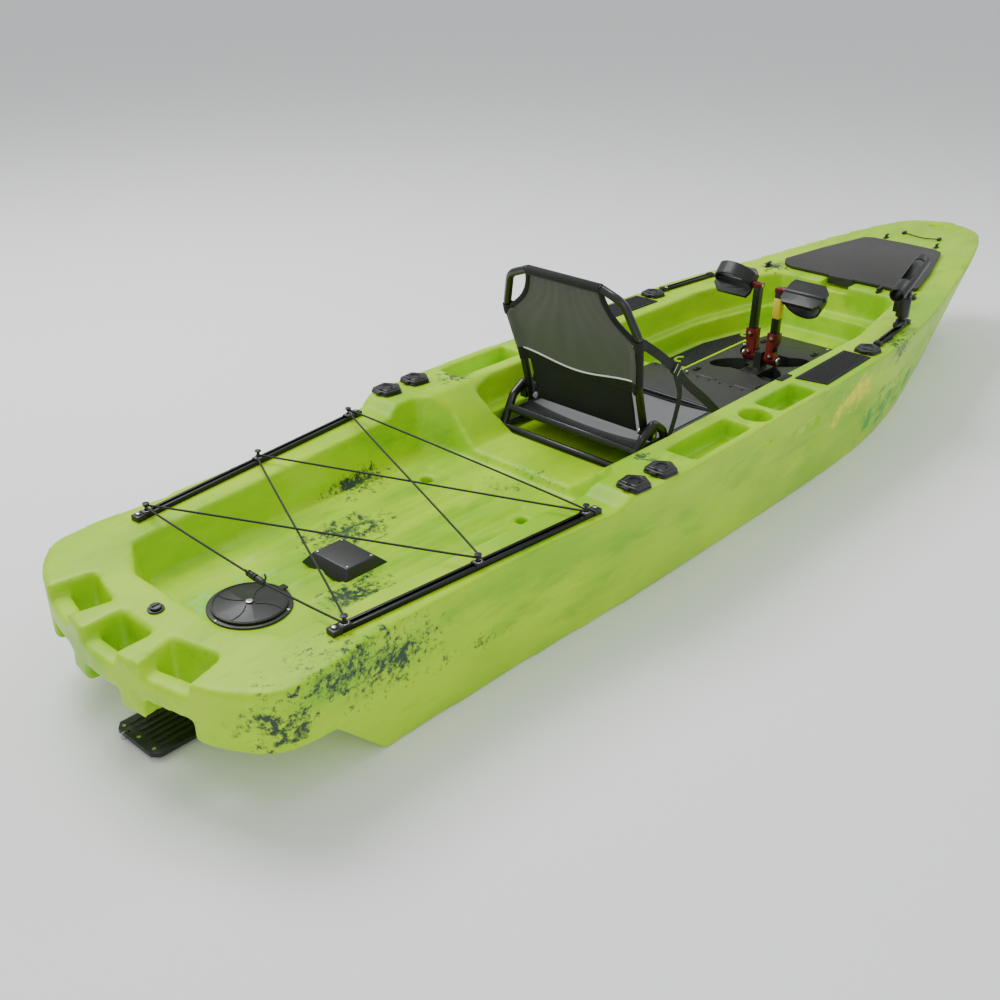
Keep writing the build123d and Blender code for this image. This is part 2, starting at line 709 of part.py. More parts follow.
def rest_arm():
    low = Pos(0, 0, TRACK_H + 18 + GAP) * Cylinder(13, 12, align=BOTTOM)
    body = Pos(0, 0, TRACK_H + 30) * Cylinder(21, 62, align=BOTTOM)
    lever = Pos(0, -24, TRACK_H + 62) * Box(14, 14, 40)
    fork = Pos(0, 0, TRACK_H + 90) * (Box(22, 34, 24, align=BOTTOM) - Pos(0, 0, 14) * Box(40, 20.6, 24))
    pin = rod((0, -19, TRACK_H + 104), (0, 19, TRACK_H + 104), 4)
    return other_side(rest_place() * (low + body + lever + fork + pin))


def rest_tube():
    """An open cradle with a slotted top, on a lug that tilts in the arm's fork."""
    lug = Pos(0, 0, TRACK_H + 97) * Box(18, 20, 34, align=BOTTOM)
    lug += Pos(0, 0, TRACK_H + 122) * Box(34, 20, 12, align=BOTTOM)
    lug -= rod((0, -19, TRACK_H + 104), (0, 19, TRACK_H + 104), 4.05)
    tilt = Pos(14, 0, TRACK_H + 128 + REST_TUBE_R) * Rot(0, 90 - REST_RISE, 0)
    bore = Cylinder(REST_TUBE_R - 4, REST_TUBE_L + 4)
    window = Pos(-REST_TUBE_R, 0, 18) * Box(2 * REST_TUBE_R, 30, REST_TUBE_L - 96)
    tube = tilt * (Cylinder(REST_TUBE_R, REST_TUBE_L) - bore - window)
    lug = lug - tilt * Cylinder(REST_TUBE_R - 1, REST_TUBE_L)
    return other_side(rest_place() * (tube + lug))


# ---------------------------------------------------------------- seat
def on_rake(along, off):
    """An (x, z) point on the backrest: along the rake from the pivot, off forward of it."""
    a = radians(BACK_RAKE)
    return (PIVOT[0] - sin(a) * along + cos(a) * off, PIVOT[1] + cos(a) * along + sin(a) * off)


def seat_base():
    bar_z = SEAT_FLOOR + TUBE_R + GAP
    y = SEAT_HALF
    loop = [(SEAT_BAR_X, bar_z), (-506, 302), (-458, 331), (-414, 300), (-396, RAIL_Z),
            (SEAT_FRONT_X, RAIL_Z), (SEAT_FRONT_X + 34, bar_z)]
    side = bent_tube([(x, y, z) for x, z in loop], TUBE_R, 16)
    runner = rod((SEAT_BAR_X, y, bar_z), (SEAT_FRONT_X + 34, y, bar_z), TUBE_R)
    frame = side + runner + other_side(side) + other_side(runner)
    for x, z in ((SEAT_BAR_X, bar_z), (SEAT_FRONT_X + 34, bar_z), (REAR_CROSS_X, RAIL_Z + 6),
                 (SEAT_FRONT_X - 8, RAIL_Z)):
        frame += rod((x, -y, z), (x, y, z), TUBE_R - 1)
    x, z = PIVOT
    lug = box(x - 11, x + 11, BACK_HALF + BACK_TUBE_R + 0.5, y + 6, z - 13, z + 28)
    frame = frame + lug + other_side(lug)
    return frame - rod((x, -300, z), (x, 300, z), BOLT_R + 0.05)


def seat_sling():
    x0, x1 = REAR_CROSS_X + TUBE_R - 1 + GAP, SEAT_FRONT_X - 8 - TUBE_R + 1 - GAP
    half = SEAT_HALF - TUBE_R - GAP
    profile = [(x0, RAIL_Z - 4), (x1, RAIL_Z - 4), (x1, RAIL_Z + 4), (x0, RAIL_Z + 4)]
    return crosswise(profile, -half, half)


def back_frame():
    y = BACK_HALF
    spread = y + 22
    low = on_rake(-14, 0)
    points = [(low[0], y, low[1])]
    for along, py in ((150, y), (SHOULDER, spread), (BACK_HEIGHT - 26, spread - 34), (BACK_HEIGHT, 122)):
        x, z = on_rake(along, 0)
        points.append((x, py, z))
    half_path = FilletPolyline(*points, radius=[60, 55, 46])
    start = Plane(origin=half_path @ 0, z_dir=half_path % 0)
    side = sweep(start * Circle(BACK_TUBE_R), path=half_path)
    x, z = on_rake(BACK_HEIGHT, 0)
    top = rod((x, -122, z), (x, 122, z), BACK_TUBE_R)
    side = side - rod((PIVOT[0], 100, PIVOT[1]), (PIVOT[0], 300, PIVOT[1]), BOLT_R + 0.05)
    return side + other_side(side) + top


def back_panel():
    """Stretched cloth between the posts, narrower above the shoulders."""
    in_low = BACK_HALF - BACK_TUBE_R - GAP
    top = BACK_HEIGHT - BACK_TUBE_R - GAP
    points = [(136, in_low), (156, in_low), (SHOULDER - 30, in_low + 14), (top - 34, 118), (top, 96)]
    outline_points = points + [(a, -y) for a, y in reversed(points)]
    face = make_face(Polyline(*[(a, y) for a, y in outline_points], close=True))
    x0, z0 = on_rake(0, -FABRIC_T / 2)
    x1, z1 = on_rake(1, -FABRIC_T / 2)
    normal = on_rake(0, FABRIC_T / 2)
    plane = Plane(origin=(x0, 0, z0), x_dir=(x1 - x0, 0, z1 - z0), z_dir=(normal[0] - x0, 0, normal[1] - z0))
    return extrude(plane * face, FABRIC_T)


def rear_panel():
    """The dark cloth that closes the gap between the back and the seat."""
    half = BACK_HALF - BACK_TUBE_R - 12
    corners = [on_rake(135.5, -3), on_rake(135.5, 3), on_rake(-6, 3), on_rake(-6, -3)]
    return crosswise(corners, -half, half)


def pivot_bolt():
    x, z = PIVOT
    y0 = BACK_HALF - BACK_TUBE_R - GAP
    bolt = rod((x, y0, z), (x, SEAT_HALF + 6, z), BOLT_R)
    head = rod((x, y0 - 5, z), (x, y0, z), 9)
    return bolt + head


def strap(points, width, y):
    """Flat webbing in an upright plane, through the (x, z) points."""
    solids = []
    for (x0, z0), (x1, z1) in zip(points, points[1:]):
        length = hypot(x1 - x0, z1 - z0)
        turn = degrees(atan2(z1 - z0, x1 - x0))
        place = Location(((x0 + x1) / 2, y, (z0 + z1) / 2), (0, -turn, 0))
        solids.append(place * Box(length, STRAP_T, width))
    return solids


# ---------------------------------------------------------------- drive
def drive_spine():
    block = box(DRIVE_X - 70, DRIVE_X + 70, -34, 34, 34, 172)
    block += box(DRIVE_X - 24, DRIVE_X + 24, -13, 13, 170, PIVOT_Z + 24)
    foot_z = WELL_CUP_Z + LINER_T
    for x0, x1 in ((-64, -36), (36, 64)):
        block += box(DRIVE_X + x0, DRIVE_X + x1, -72, 72, foot_z, foot_z + 12)
    bore = rod((DRIVE_X, -60, PIVOT_Z), (DRIVE_X, 60, PIVOT_Z), AXLE_R + 0.02)
    sockets = rod((DRIVE_X - 71, 0, FIN_AXIS_Z), (DRIVE_X + 71, 0, FIN_AXIS_Z), 9.05)
    return block - bore - sockets


def drive_axle():
    axle = rod((DRIVE_X, -60, PIVOT_Z), (DRIVE_X, 60, PIVOT_Z), AXLE_R)
    nuts = both(rod((DRIVE_X, 60, PIVOT_Z), (DRIVE_X, 67, PIVOT_Z), 13))
    return axle + nuts


def crank():
    """Red casting: a hub on the axle, a curved leg and a square socket for the mast."""
    y0, y1 = 14.5, 59.5
    hub = rod((DRIVE_X, y0, PIVOT_Z), (DRIVE_X, y1, PIVOT_Z), 18)
    leg = lengthwise([(22, PIVOT_Z), (58, PIVOT_Z), (46, 244), (56, 262), (58, 300), (22, 300)],
                     DRIVE_X - 17, DRIVE_X + 17)
    body = hub + leg
    body -= rod((DRIVE_X, 0, PIVOT_Z), (DRIVE_X, 80, PIVOT_Z), AXLE_R + 0.05)
    w = MAST_W / 2
    return body - box(DRIVE_X - w, DRIVE_X + w, MAST_Y - w, MAST_Y + w, 236, 320)


def mast():
    w = MAST_W / 2 - 0.05
    bar = box(DRIVE_X - w, DRIVE_X + w, MAST_Y - w, MAST_Y + w, 236.2, MAST_TOP)
    pin = rod((DRIVE_X, MAST_Y, PEDAL_Z), (DRIVE_X, MAST_Y + 17, PEDAL_Z), PIN_R + 4)
    pin += rod((DRIVE_X, MAST_Y, PEDAL_Z), (DRIVE_X, PEDAL_Y + PEDAL_W / 2 + 5, PEDAL_Z), PIN_R)
    return bar + pin


def pedal(tilt):
    """Foot plate with a toe strap arched over its face."""
    y0, y1 = PEDAL_Y - PEDAL_W / 2, PEDAL_Y + PEDAL_W / 2
    h = PEDAL_H / 2
    plate = [(-h, y0 + 8), (-h, y1 - 22), (-h + 24, y1), (h - 20, y1), (h, y1 - 16), (h, y0 + 16),
             (h - 18, y0), (-h + 20, y0)]
    face = make_face(Polyline(*[(-4, y, z) for z, y in plate], close=True))
    body = extrude(face, 13, dir=(1, 0, 0))
    body += rod((3, y0, 0), (3, y1, 0), 12)
    arch = Pos(-4, PEDAL_Y, 6) * (strap_ring(PEDAL_W / 2, 44) - strap_ring(PEDAL_W / 2 - 5, 60))
    arch -= box(-3.9, 120, y0 - 10, y1 + 10, -100, 100)
    body = body + arch - rod((0, y0 - 9, 0), (0, y1 + 9, 0), PIN_R + 0.05)
    return Pos(DRIVE_X, 0, PEDAL_Z) * Rot(0, tilt, 0) * body


def strap_ring(radius, height):
    return extrude(Pos(0, 0, -height / 2) * Ellipse(radius, radius), height)


def fin_drum(end):
    x0 = DRIVE_X + end * (70 + GAP)
    body = rod((x0, 0, FIN_AXIS_Z), (x0 + end * 20, 0, FIN_AXIS_Z), DRUM_R)
    stub = rod((x0 - end * 40, 0, FIN_AXIS_Z), (x0, 0, FIN_AXIS_Z), 9)
    ears = []
    for side in (-1, 1):
        ears.append(box(min(x0 + end * 18, x0 + end * 36), max(x0 + end * 18, x0 + end * 36),
                        side * 12 - 3.5, side * 12 + 3.5, FIN_AXIS_Z - 9, FIN_AXIS_Z + 9))
    pin = rod((fin_pivot(end), -19, FIN_AXIS_Z), (fin_pivot(end), 19, FIN_AXIS_Z), 3)
    return body + stub + ears + pin


def fin_pivot(end):
    return DRIVE_X + end * (70 + GAP + 29)


def fin(end):
    """Blade on a mast, folded along the keel; it swings down about the drum's pin."""
    x = fin_pivot(end)
    tip = x + end * FIN_LENGTH
    z = FIN_AXIS_Z
    c = FIN_CHORD / 2
    spar = rod((x + end * 6, 0, z), (tip - end * 30, 0, z), 6)
    eye = rod((x, -7.8, z), (x, 7.8, z), 8.5)
    outline_points = [(x + end * 62, z - c + 14), (x + end * 120, z - c), (tip - end * 60, z - c + 6),
                      (tip, z - 12), (tip, z + 14), (tip - end * 70, z + c - 4),
                      (x + end * 110, z + c), (x + end * 62, z + c - 20)]
    blade = crosswise(outline_points, -3.5, 3.5)
    return spar + eye + blade - rod((x, -20, z), (x, 20, z), 3.05)


# ---------------------------------------------------------------- rudder
def rudder_pivot():
    return Vector(STEER_X - 34, 0, BLADE_Z)


def rudder_housing():
    roof = OVERHANG_Z - 10
    plate = box(STEER_X - 60, STEER_X + 45, -34, 34, roof - 8, roof)
    barrel = disc(STEER_X, 0, HEAD_TOP + GAP, roof - 7, 17)
    return plate + barrel - disc(STEER_X, 0, 0, roof - 20, 7.05)


def rudder_head():
    x, z = STEER_X, HEAD_TOP
    block = box(x - 20, x + 20, -20, 20, z - 18, z)
    stem = disc(x, 0, z - 2, z + 70, 7)
    axis = Vector(1, 1, 1).normalized()
    p = rudder_pivot()
    lug = rod(tuple(p + axis * 7.3), tuple(p + axis * 27), 8)
    pin = rod(tuple(p - axis * 10), tuple(p + axis * 20), 3.5)
    return block + stem + lug + pin


def rudder_blade():
    p = rudder_pivot()
    axis = Vector(1, 1, 1).normalized()
    t = BLADE_T / 2
    x0, x1, w = p.X - BLADE_TIP, p.X - BLADE_ROOT, BLADE_HALF
    plan = [(x0, w - 16), (x0 + 14, w), (x1 - 10, w), (x1, w - 24), (x1, 24 - w), (x1 - 10, -w),
            (x0 + 14, -w), (x0, 16 - w)]
    blade = prism(plan, p.Z - t, p.Z + t)
    for i in range(7):
        y = (i - 3) * 18
        blade += box(x0 + 26, x1 - 22, y - 3, y + 3, p.Z - t, p.Z + t + 2)
    neck = box(p.X - 34, p.X - 4, -13, 13, p.Z - 5, p.Z + 5)
    hub = rod(tuple(p - axis * 7), tuple(p + axis * 7), 9)
    holes = disc(x0 + 9, 34, 0, 60, 3.4)
    return blade + neck + hub - rod(tuple(p - axis * 20), tuple(p + axis * 20), 3.55) - holes


def rudder_bolts():
    p = rudder_pivot()
    x = p.X - BLADE_TIP + 12
    top = p.Z + BLADE_T / 2
    return [disc(x, y, top, top + 2.4, 4.2) for y in (-54, 0, 54)]


def rudder_ring():
    p = rudder_pivot()
    circle = Plane(origin=(p.X - BLADE_TIP + 9, 34, p.Z), z_dir=(0, 0, 1)) * Circle(1.0)
    return revolve(circle, Axis((p.X - BLADE_TIP, 34, p.Z), (0, 1, 0)), 360)


def lever_base():
    return on_deck(*CUP) * Cylinder(27, 6, align=BOTTOM)


def rudder_lever():
    hub = Cylinder(15, 14, align=BOTTOM)
    arm = Pos(48, 0, 5) * Box(96, 15, 8)
    knob = Pos(94, 0, 1) * Cylinder(13, 34, align=BOTTOM)
    return on_deck(*CUP) * Pos(0, 0, 6) * (hub + arm + knob)


# ---------------------------------------------------------------- the parts
def nodes():
    cords = {"bungee_cord": bungee(), "bow_handle_cord": handle_cord()}
    strap_y = SEAT_HALF + TUBE_R + STRAP_T / 2 + 2 * GAP
    shoulder = on_rake(SHOULDER - 20, 6)
    strap_line = [shoulder, STRAP_BUCKLE, STRAP_FRONT]
    parts = {
        "hull": [hull()],
        "drive_plate": [drive_plate()],
        "drive_liner": [drive_liner()],
        "foot_mats": both(foot_mat()),
        "deck_pads": both(gunwale_pad()) + both(slot_pad()),
        "centre_hatch_lid": [centre_lid()],
        "centre_hatch_hardware": centre_hinge_pins() + centre_rivets(),
        "gear_tracks": both(gear_track(REAR_TRACK)) + both(gear_track(FRONT_TRACK)),
        "track_end_caps": [s for t in (REAR_TRACK, FRONT_TRACK) for x, out in ((t[0], -1), (t[1], 1))
                           for s in both(end_cap(t, x, out))],
        "bungee_posts": [s for x in BUNGEE_POSTS for s in both(bungee_post(x))],
        "rod_flanges": [s for x, y in ROD_HOLDERS.values() for s in both(rod_flange(x, y))],
        "round_hatch_ring": [round_hatch_ring()],
        "round_hatch_lid": [round_hatch_lid()],
        "sounder_box": [sounder_box()],
        "small_screws": round_hatch_screws() + sounder_screws(),
        "bungee_adjuster": [bungee_adjuster()],
        "drain_seat": [drain_seat()],
        "drain_plug": [drain_plug()],
        "scupper_plug_port": [scupper_plug()],
        "scupper_plug_starboard": [other_side(scupper_plug())],
        "bow_hatch_lid": [bow_lid()],
        "bow_hatch_gasket": [bow_gasket()],
        "deck_cleats": both(hook(HALF - 370, 103)) + both(deck_cleat(1006, 282)) + [deck_cleat(1002, -160)],
        "bow_handle_toggles": both(toggle(72)),
        "rest_base": [rest_base()],
        "rest_arm": [rest_arm()],
        "rest_tube": [rest_tube()],
        "seat_base_frame": [seat_base()],
        "seat_sling": [seat_sling()],
        "seat_back_frame": [back_frame()],
        "seat_back_panel": [back_panel()],
        "seat_rear_panel": [rear_panel()],
        "seat_pivot_bolts": both(pivot_bolt()),
        "seat_straps": [s for y in (strap_y, -strap_y) for s in strap(strap_line, STRAP_W, y)],
        "drive_spine": [drive_spine()],
        "drive_axle": [drive_axle()],
        "crank_port": [crank()],
        "crank_starboard": [other_side(crank())],
        "mast_port": [mast()],
        "mast_starboard": [other_side(mast())],
        "pedal_port": [pedal(PORT_PEDAL_TILT)],
        "pedal_starboard": [other_side(pedal(STAR_PEDAL_TILT))],
        "fin_drum_front": [fin_drum(1)],
        "fin_drum_rear": [fin_drum(-1)],
        "fin_front": [fin(1)],
        "fin_rear": [fin(-1)],
        "rudder_housing": [rudder_housing()],
        "rudder_head": [rudder_head()],
        "rudder_blade": [rudder_blade()],
        "rudder_hardware": rudder_bolts() + [rudder_ring()],
        "lever_base": [lever_base()],
        "rudder_lever": [rudder_lever()],
    }
    for name, (x, y) in ROD_HOLDERS.items():
        parts["rod_cap_%s_port" % name] = [rod_cap(x, y)]
        parts["rod_cap_%s_starboard" % name] = [other_side(rod_cap(x, y))]
    for name, solid in cords.items():
        parts[name] = [solid]
    return parts


def main():
    os.makedirs("parts", exist_ok=True)
    for name, solids in nodes().items():
        shape = solids[0] if len(solids) == 1 else Compound(children=list(solids))
        export_step(shape, "parts/%s.step" % name)


main()
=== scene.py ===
import json
import math

import bmesh
import bpy
from mathutils import Matrix, Vector

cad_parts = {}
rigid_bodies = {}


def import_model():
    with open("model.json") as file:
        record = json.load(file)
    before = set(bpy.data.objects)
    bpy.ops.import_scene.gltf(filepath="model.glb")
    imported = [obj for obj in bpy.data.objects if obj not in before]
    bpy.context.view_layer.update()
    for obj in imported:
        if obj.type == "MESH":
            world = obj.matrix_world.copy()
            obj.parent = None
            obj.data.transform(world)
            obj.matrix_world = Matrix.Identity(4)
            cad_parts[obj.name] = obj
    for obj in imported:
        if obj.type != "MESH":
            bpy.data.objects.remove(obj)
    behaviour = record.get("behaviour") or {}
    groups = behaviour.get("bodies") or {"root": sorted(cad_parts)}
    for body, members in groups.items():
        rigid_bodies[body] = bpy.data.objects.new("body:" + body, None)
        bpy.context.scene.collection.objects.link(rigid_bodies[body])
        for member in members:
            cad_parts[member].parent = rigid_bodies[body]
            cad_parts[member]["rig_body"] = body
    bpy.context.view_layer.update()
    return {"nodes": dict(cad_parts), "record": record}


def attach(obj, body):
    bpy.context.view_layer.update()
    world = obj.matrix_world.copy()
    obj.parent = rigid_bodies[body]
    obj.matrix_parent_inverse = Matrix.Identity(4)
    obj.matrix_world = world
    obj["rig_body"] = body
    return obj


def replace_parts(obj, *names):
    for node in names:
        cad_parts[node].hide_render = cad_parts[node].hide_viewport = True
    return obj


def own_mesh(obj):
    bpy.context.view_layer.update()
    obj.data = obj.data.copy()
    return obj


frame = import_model()
nodes = frame["nodes"]
SLOT_OF = {s["node"]: s["material_slot"] for s in frame["record"]["subparts"]}


# ---------------------------------------------------------------- camera, light and floor
def make_camera():
    azimuth, elevation, roll = math.radians(41.106), math.radians(-27.336), math.radians(1.283)
    forward = Vector((math.cos(elevation) * math.cos(azimuth), math.cos(elevation) * math.sin(azimuth),
                      math.sin(elevation)))
    level = Vector((math.sin(azimuth), -math.cos(azimuth), 0))
    over = level.cross(forward)
    right = level * math.cos(roll) + over * math.sin(roll)
    over = right.cross(forward)
    data = bpy.data.cameras.new("camera")
    data.lens = 41.6
    data.sensor_width = 36.0
    camera = bpy.data.objects.new("camera", data)
    turn = Matrix((right, over, -forward)).transposed().to_4x4()
    camera.matrix_world = Matrix.Translation((-2.836, -1.767, 1.545)) @ turn
    bpy.context.scene.collection.objects.link(camera)
    bpy.context.scene.camera = camera


def area_light(name, place, target, size, power):
    data = bpy.data.lights.new(name, "AREA")
    data.size = size
    data.energy = power
    lamp = bpy.data.objects.new(name, data)
    lamp.location = place
    lamp.rotation_euler = (Vector(target) - Vector(place)).to_track_quat("-Z", "Y").to_euler()
    bpy.context.scene.collection.objects.link(lamp)


def make_studio():
    world = bpy.data.worlds.new("studio")
    bpy.context.scene.world = world
    world.use_nodes = True
    sky = world.node_tree.nodes["Background"]
    sky.inputs["Color"].default_value = (0.96, 0.98, 1.0, 1)
    sky.inputs["Strength"].default_value = 0.68
    area_light("key", (-1.0, 2.6, 4.6), (0, 0, 0.2), 3.0, 250)
    area_light("fill", (-3.4, -3.4, 2.6), (-0.5, 0, 0.2), 3.0, 40)
    area_light("bow_light", (3.5, -1.5, 3.6), (1.0, 0, 0.3), 2.5, 40)
    mesh = bpy.data.meshes.new("floor")
    mesh.from_pydata([(-30, -30, 0), (30, -30, 0), (30, 30, 0), (-30, 30, 0)], [], [(0, 1, 2, 3)])
    floor = bpy.data.objects.new("floor", mesh)
    bpy.context.scene.collection.objects.link(floor)
    pale = bpy.data.materials.new("pale_floor")
    pale.use_nodes = True
    shader = pale.node_tree.nodes["Principled BSDF"]
    shader.inputs["Base Color"].default_value = (0.93, 0.93, 0.93, 1)
    shader.inputs["Roughness"].default_value = 0.9
    shader.inputs["Specular IOR Level"].default_value = 0.1
    mesh.materials.append(pale)


# ---------------------------------------------------------------- shader groups
def new_group(name, inputs, outputs):
    tree = bpy.data.node_groups.new(name, "ShaderNodeTree")
    for label, kind, value in inputs:
        tree.interface.new_socket(name=label, in_out="INPUT", socket_type=kind).default_value = value
    for label, kind in outputs:
        tree.interface.new_socket(name=label, in_out="OUTPUT", socket_type=kind)
    return tree, tree.nodes.new("NodeGroupInput"), tree.nodes.new("NodeGroupOutput")


def add(tree, kind, **settings):
    node = tree.nodes.new(kind)
    for key, value in settings.items():
        setattr(node, key, value)
    return node


def plug(tree, source, sink):
    if isinstance(source, (int, float)):
        sink.default_value = source
    elif isinstance(source, tuple):
        sink.default_value = source
    else:
        tree.links.new(source, sink)


def math_node(tree, operation, a, b=0.0, clamp=False):
    node = add(tree, "ShaderNodeMath", operation=operation, use_clamp=clamp)
    plug(tree, a, node.inputs[0])
    plug(tree, b, node.inputs[1])
    return node.outputs[0]


def noise_node(tree, vector, scale, detail=3.0, rough=0.55):
    node = add(tree, "ShaderNodeTexNoise")
    plug(tree, vector, node.inputs["Vector"])
    plug(tree, scale, node.inputs["Scale"])
    node.inputs["Detail"].default_value = detail
    node.inputs["Roughness"].default_value = rough
    return node.outputs["Fac"]


def span(tree, value, low, high, to_low=0.0, to_high=1.0):
    node = add(tree, "ShaderNodeMapRange")
    for source, name in ((value, "Value"), (low, "From Min"), (high, "From Max"),
                         (to_low, "To Min"), (to_high, "To Max")):
        plug(tree, source, node.inputs[name])
    return node.outputs["Result"]


def blend_colour(tree, factor, a, b):
    node = add(tree, "ShaderNodeMix", data_type="RGBA")
    plug(tree, factor, node.inputs["Factor"])
    plug(tree, a, node.inputs[6])
    plug(tree, b, node.inputs[7])
    return node.outputs[2]


def grain_group():
    """Fine moulded or cast grain over a slow unevenness."""
    tree, start, end = new_group(
        "grain", [("Position", "NodeSocketVector", (0, 0, 0)), ("Fine", "NodeSocketFloat", 900.0),
                  ("Slow", "NodeSocketFloat", 6.0)],
        [("Tone", "NodeSocketFloat"), ("Height", "NodeSocketFloat")])
    fine = noise_node(tree, start.outputs["Position"], start.outputs["Fine"], 2.0)
    slow = noise_node(tree, start.outputs["Position"], start.outputs["Slow"], 4.0)
    tree.links.new(slow, end.inputs["Tone"])
    mixed = math_node(tree, "ADD", math_node(tree, "MULTIPLY", fine, 0.35), slow)
    tree.links.new(mixed, end.inputs["Height"])
    return tree


def weave_group():
    """Crossed threads: height and shade from two bands of thread."""
    tree, start, end = new_group(
        "weave", [("Across", "NodeSocketFloat", 0.0), ("Along", "NodeSocketFloat", 0.0),
                  ("Threads", "NodeSocketFloat", 500.0)],
        [("Height", "NodeSocketFloat"), ("Shade", "NodeSocketFloat")])
    turns = math_node(tree, "MULTIPLY", start.outputs["Threads"], 2 * math.pi)
    warp = math_node(tree, "SINE", math_node(tree, "MULTIPLY", start.outputs["Across"], turns))
    weft = math_node(tree, "SINE", math_node(tree, "MULTIPLY", start.outputs["Along"], turns))
    cross = math_node(tree, "MULTIPLY", warp, weft)
    tree.links.new(span(tree, cross, -1.0, 1.0), end.inputs["Height"])
    tree.links.new(span(tree, math_node(tree, "MAXIMUM", warp, weft), -1.0, 1.0), end.inputs["Shade"])
    return tree


def patch_group():
    """A ragged, speckled cloud round a centre, used as a mask for tone patches, dirt, painted highlight and
    painted shade.
    """
    tree, start, end = new_group(
        "colour_patch", [("Position", "NodeSocketVector", (0, 0, 0)),
                          ("Centre", "NodeSocketVector", (0, 0, 0)),
                          ("Reach", "NodeSocketVector", (0.1, 0.1, 0.1)),
                          ("Speckle", "NodeSocketFloat", 120.0)],
        [("Mask", "NodeSocketFloat")])
    away = add(tree, "ShaderNodeVectorMath", operation="SUBTRACT")
    tree.links.new(start.outputs["Position"], away.inputs[0])
    tree.links.new(start.outputs["Centre"], away.inputs[1])
    share = add(tree, "ShaderNodeVectorMath", operation="DIVIDE")
    tree.links.new(away.outputs[0], share.inputs[0])
    tree.links.new(start.outputs["Reach"], share.inputs[1])
    length = add(tree, "ShaderNodeVectorMath", operation="LENGTH")
    tree.links.new(share.outputs[0], length.inputs[0])
    near = math_node(tree, "SUBTRACT", 1.0, length.outputs["Value"], True)
    cloud = noise_node(tree, start.outputs["Position"], 22.0, 6.0, 0.7)
    dots = noise_node(tree, start.outputs["Position"], start.outputs["Speckle"], 4.0, 0.75)
    body = near
    for rough_edge, share in ((cloud, 2.2), (dots, 2.6)):
        off_mean = math_node(tree, "SUBTRACT", rough_edge, 0.5)
        body = math_node(tree, "ADD", body, math_node(tree, "MULTIPLY", off_mean, share))
    ragged = span(tree, body, 0.44, 0.86)
    tree.links.new(math_node(tree, "MULTIPLY", ragged, span(tree, near, 0.0, 0.25), True), end.inputs["Mask"])
    return tree


GRAIN, WEAVE, PATCH = grain_group(), weave_group(), patch_group()


# ---------------------------------------------------------------- materials
def blank(name):
    mat = bpy.data.materials.new(name)
    mat.use_nodes = True
    tree = mat.node_tree
    return mat, tree, tree.nodes["Principled BSDF"], add(tree, "ShaderNodeTexCoord").outputs["Object"]


def use_group(tree, group, **values):
    node = add(tree, "ShaderNodeGroup", node_tree=group)
    for key, value in values.items():
        plug(tree, value, node.inputs[key])
    return node


def relief(tree, shader, height, strength, distance):
    bump = add(tree, "ShaderNodeBump")
    bump.inputs["Strength"].default_value = strength
    bump.inputs["Distance"].default_value = distance
    tree.links.new(height, bump.inputs["Height"])
    tree.links.new(bump.outputs["Normal"], shader.inputs["Normal"])


def solid_finish(name, dark, light, rough, fine=900.0, slow=9.0, depth=0.0004, metallic=0.0,
                 coat=0.0, stretch=(1, 1, 1)):
    """Moulded plastic, coated or machined metal: two close tones under a fine grain."""
    mat, tree, shader, place = blank(name)
    scale = add(tree, "ShaderNodeVectorMath", operation="MULTIPLY")
    tree.links.new(place, scale.inputs[0])
    scale.inputs[1].default_value = stretch
    grain = use_group(tree, GRAIN, Position=scale.outputs[0], Fine=fine, Slow=slow)
    tone = span(tree, grain.outputs["Tone"], 0.3, 0.7)
    tree.links.new(blend_colour(tree, tone, dark + (1,), light + (1,)), shader.inputs["Base Color"])
    roughness = span(tree, grain.outputs["Tone"], 0.3, 0.7, rough[0], rough[1])
    tree.links.new(roughness, shader.inputs["Roughness"])
    relief(tree, shader, grain.outputs["Height"], 0.35, depth)
    shader.inputs["Metallic"].default_value = metallic
    shader.inputs["Coat Weight"].default_value = coat
    return mat


def cloth_finish(name, dark, light, threads, axes, depth=0.0004, sheen=0.3, rough=0.85):
    """Woven cloth with threads along two of the object's axes."""
    mat, tree, shader, place = blank(name)
    parts = add(tree, "ShaderNodeSeparateXYZ")
    tree.links.new(place, parts.inputs[0])
    weave = use_group(tree, WEAVE, Across=parts.outputs[axes[0]], Along=parts.outputs[axes[1]],
                      Threads=threads)
    worn = noise_node(tree, place, 14.0, 4.0)
    shade = math_node(tree, "ADD", math_node(tree, "MULTIPLY", weave.outputs["Shade"], 0.6),
                      math_node(tree, "MULTIPLY", worn, 0.5), True)
    tree.links.new(blend_colour(tree, shade, dark + (1,), light + (1,)), shader.inputs["Base Color"])
    tree.links.new(span(tree, worn, 0.3, 0.7, rough - 0.08, rough + 0.08), shader.inputs["Roughness"])
    relief(tree, shader, weave.outputs["Height"], 0.6, depth)
    shader.inputs["Sheen Weight"].default_value = sheen
    return mat


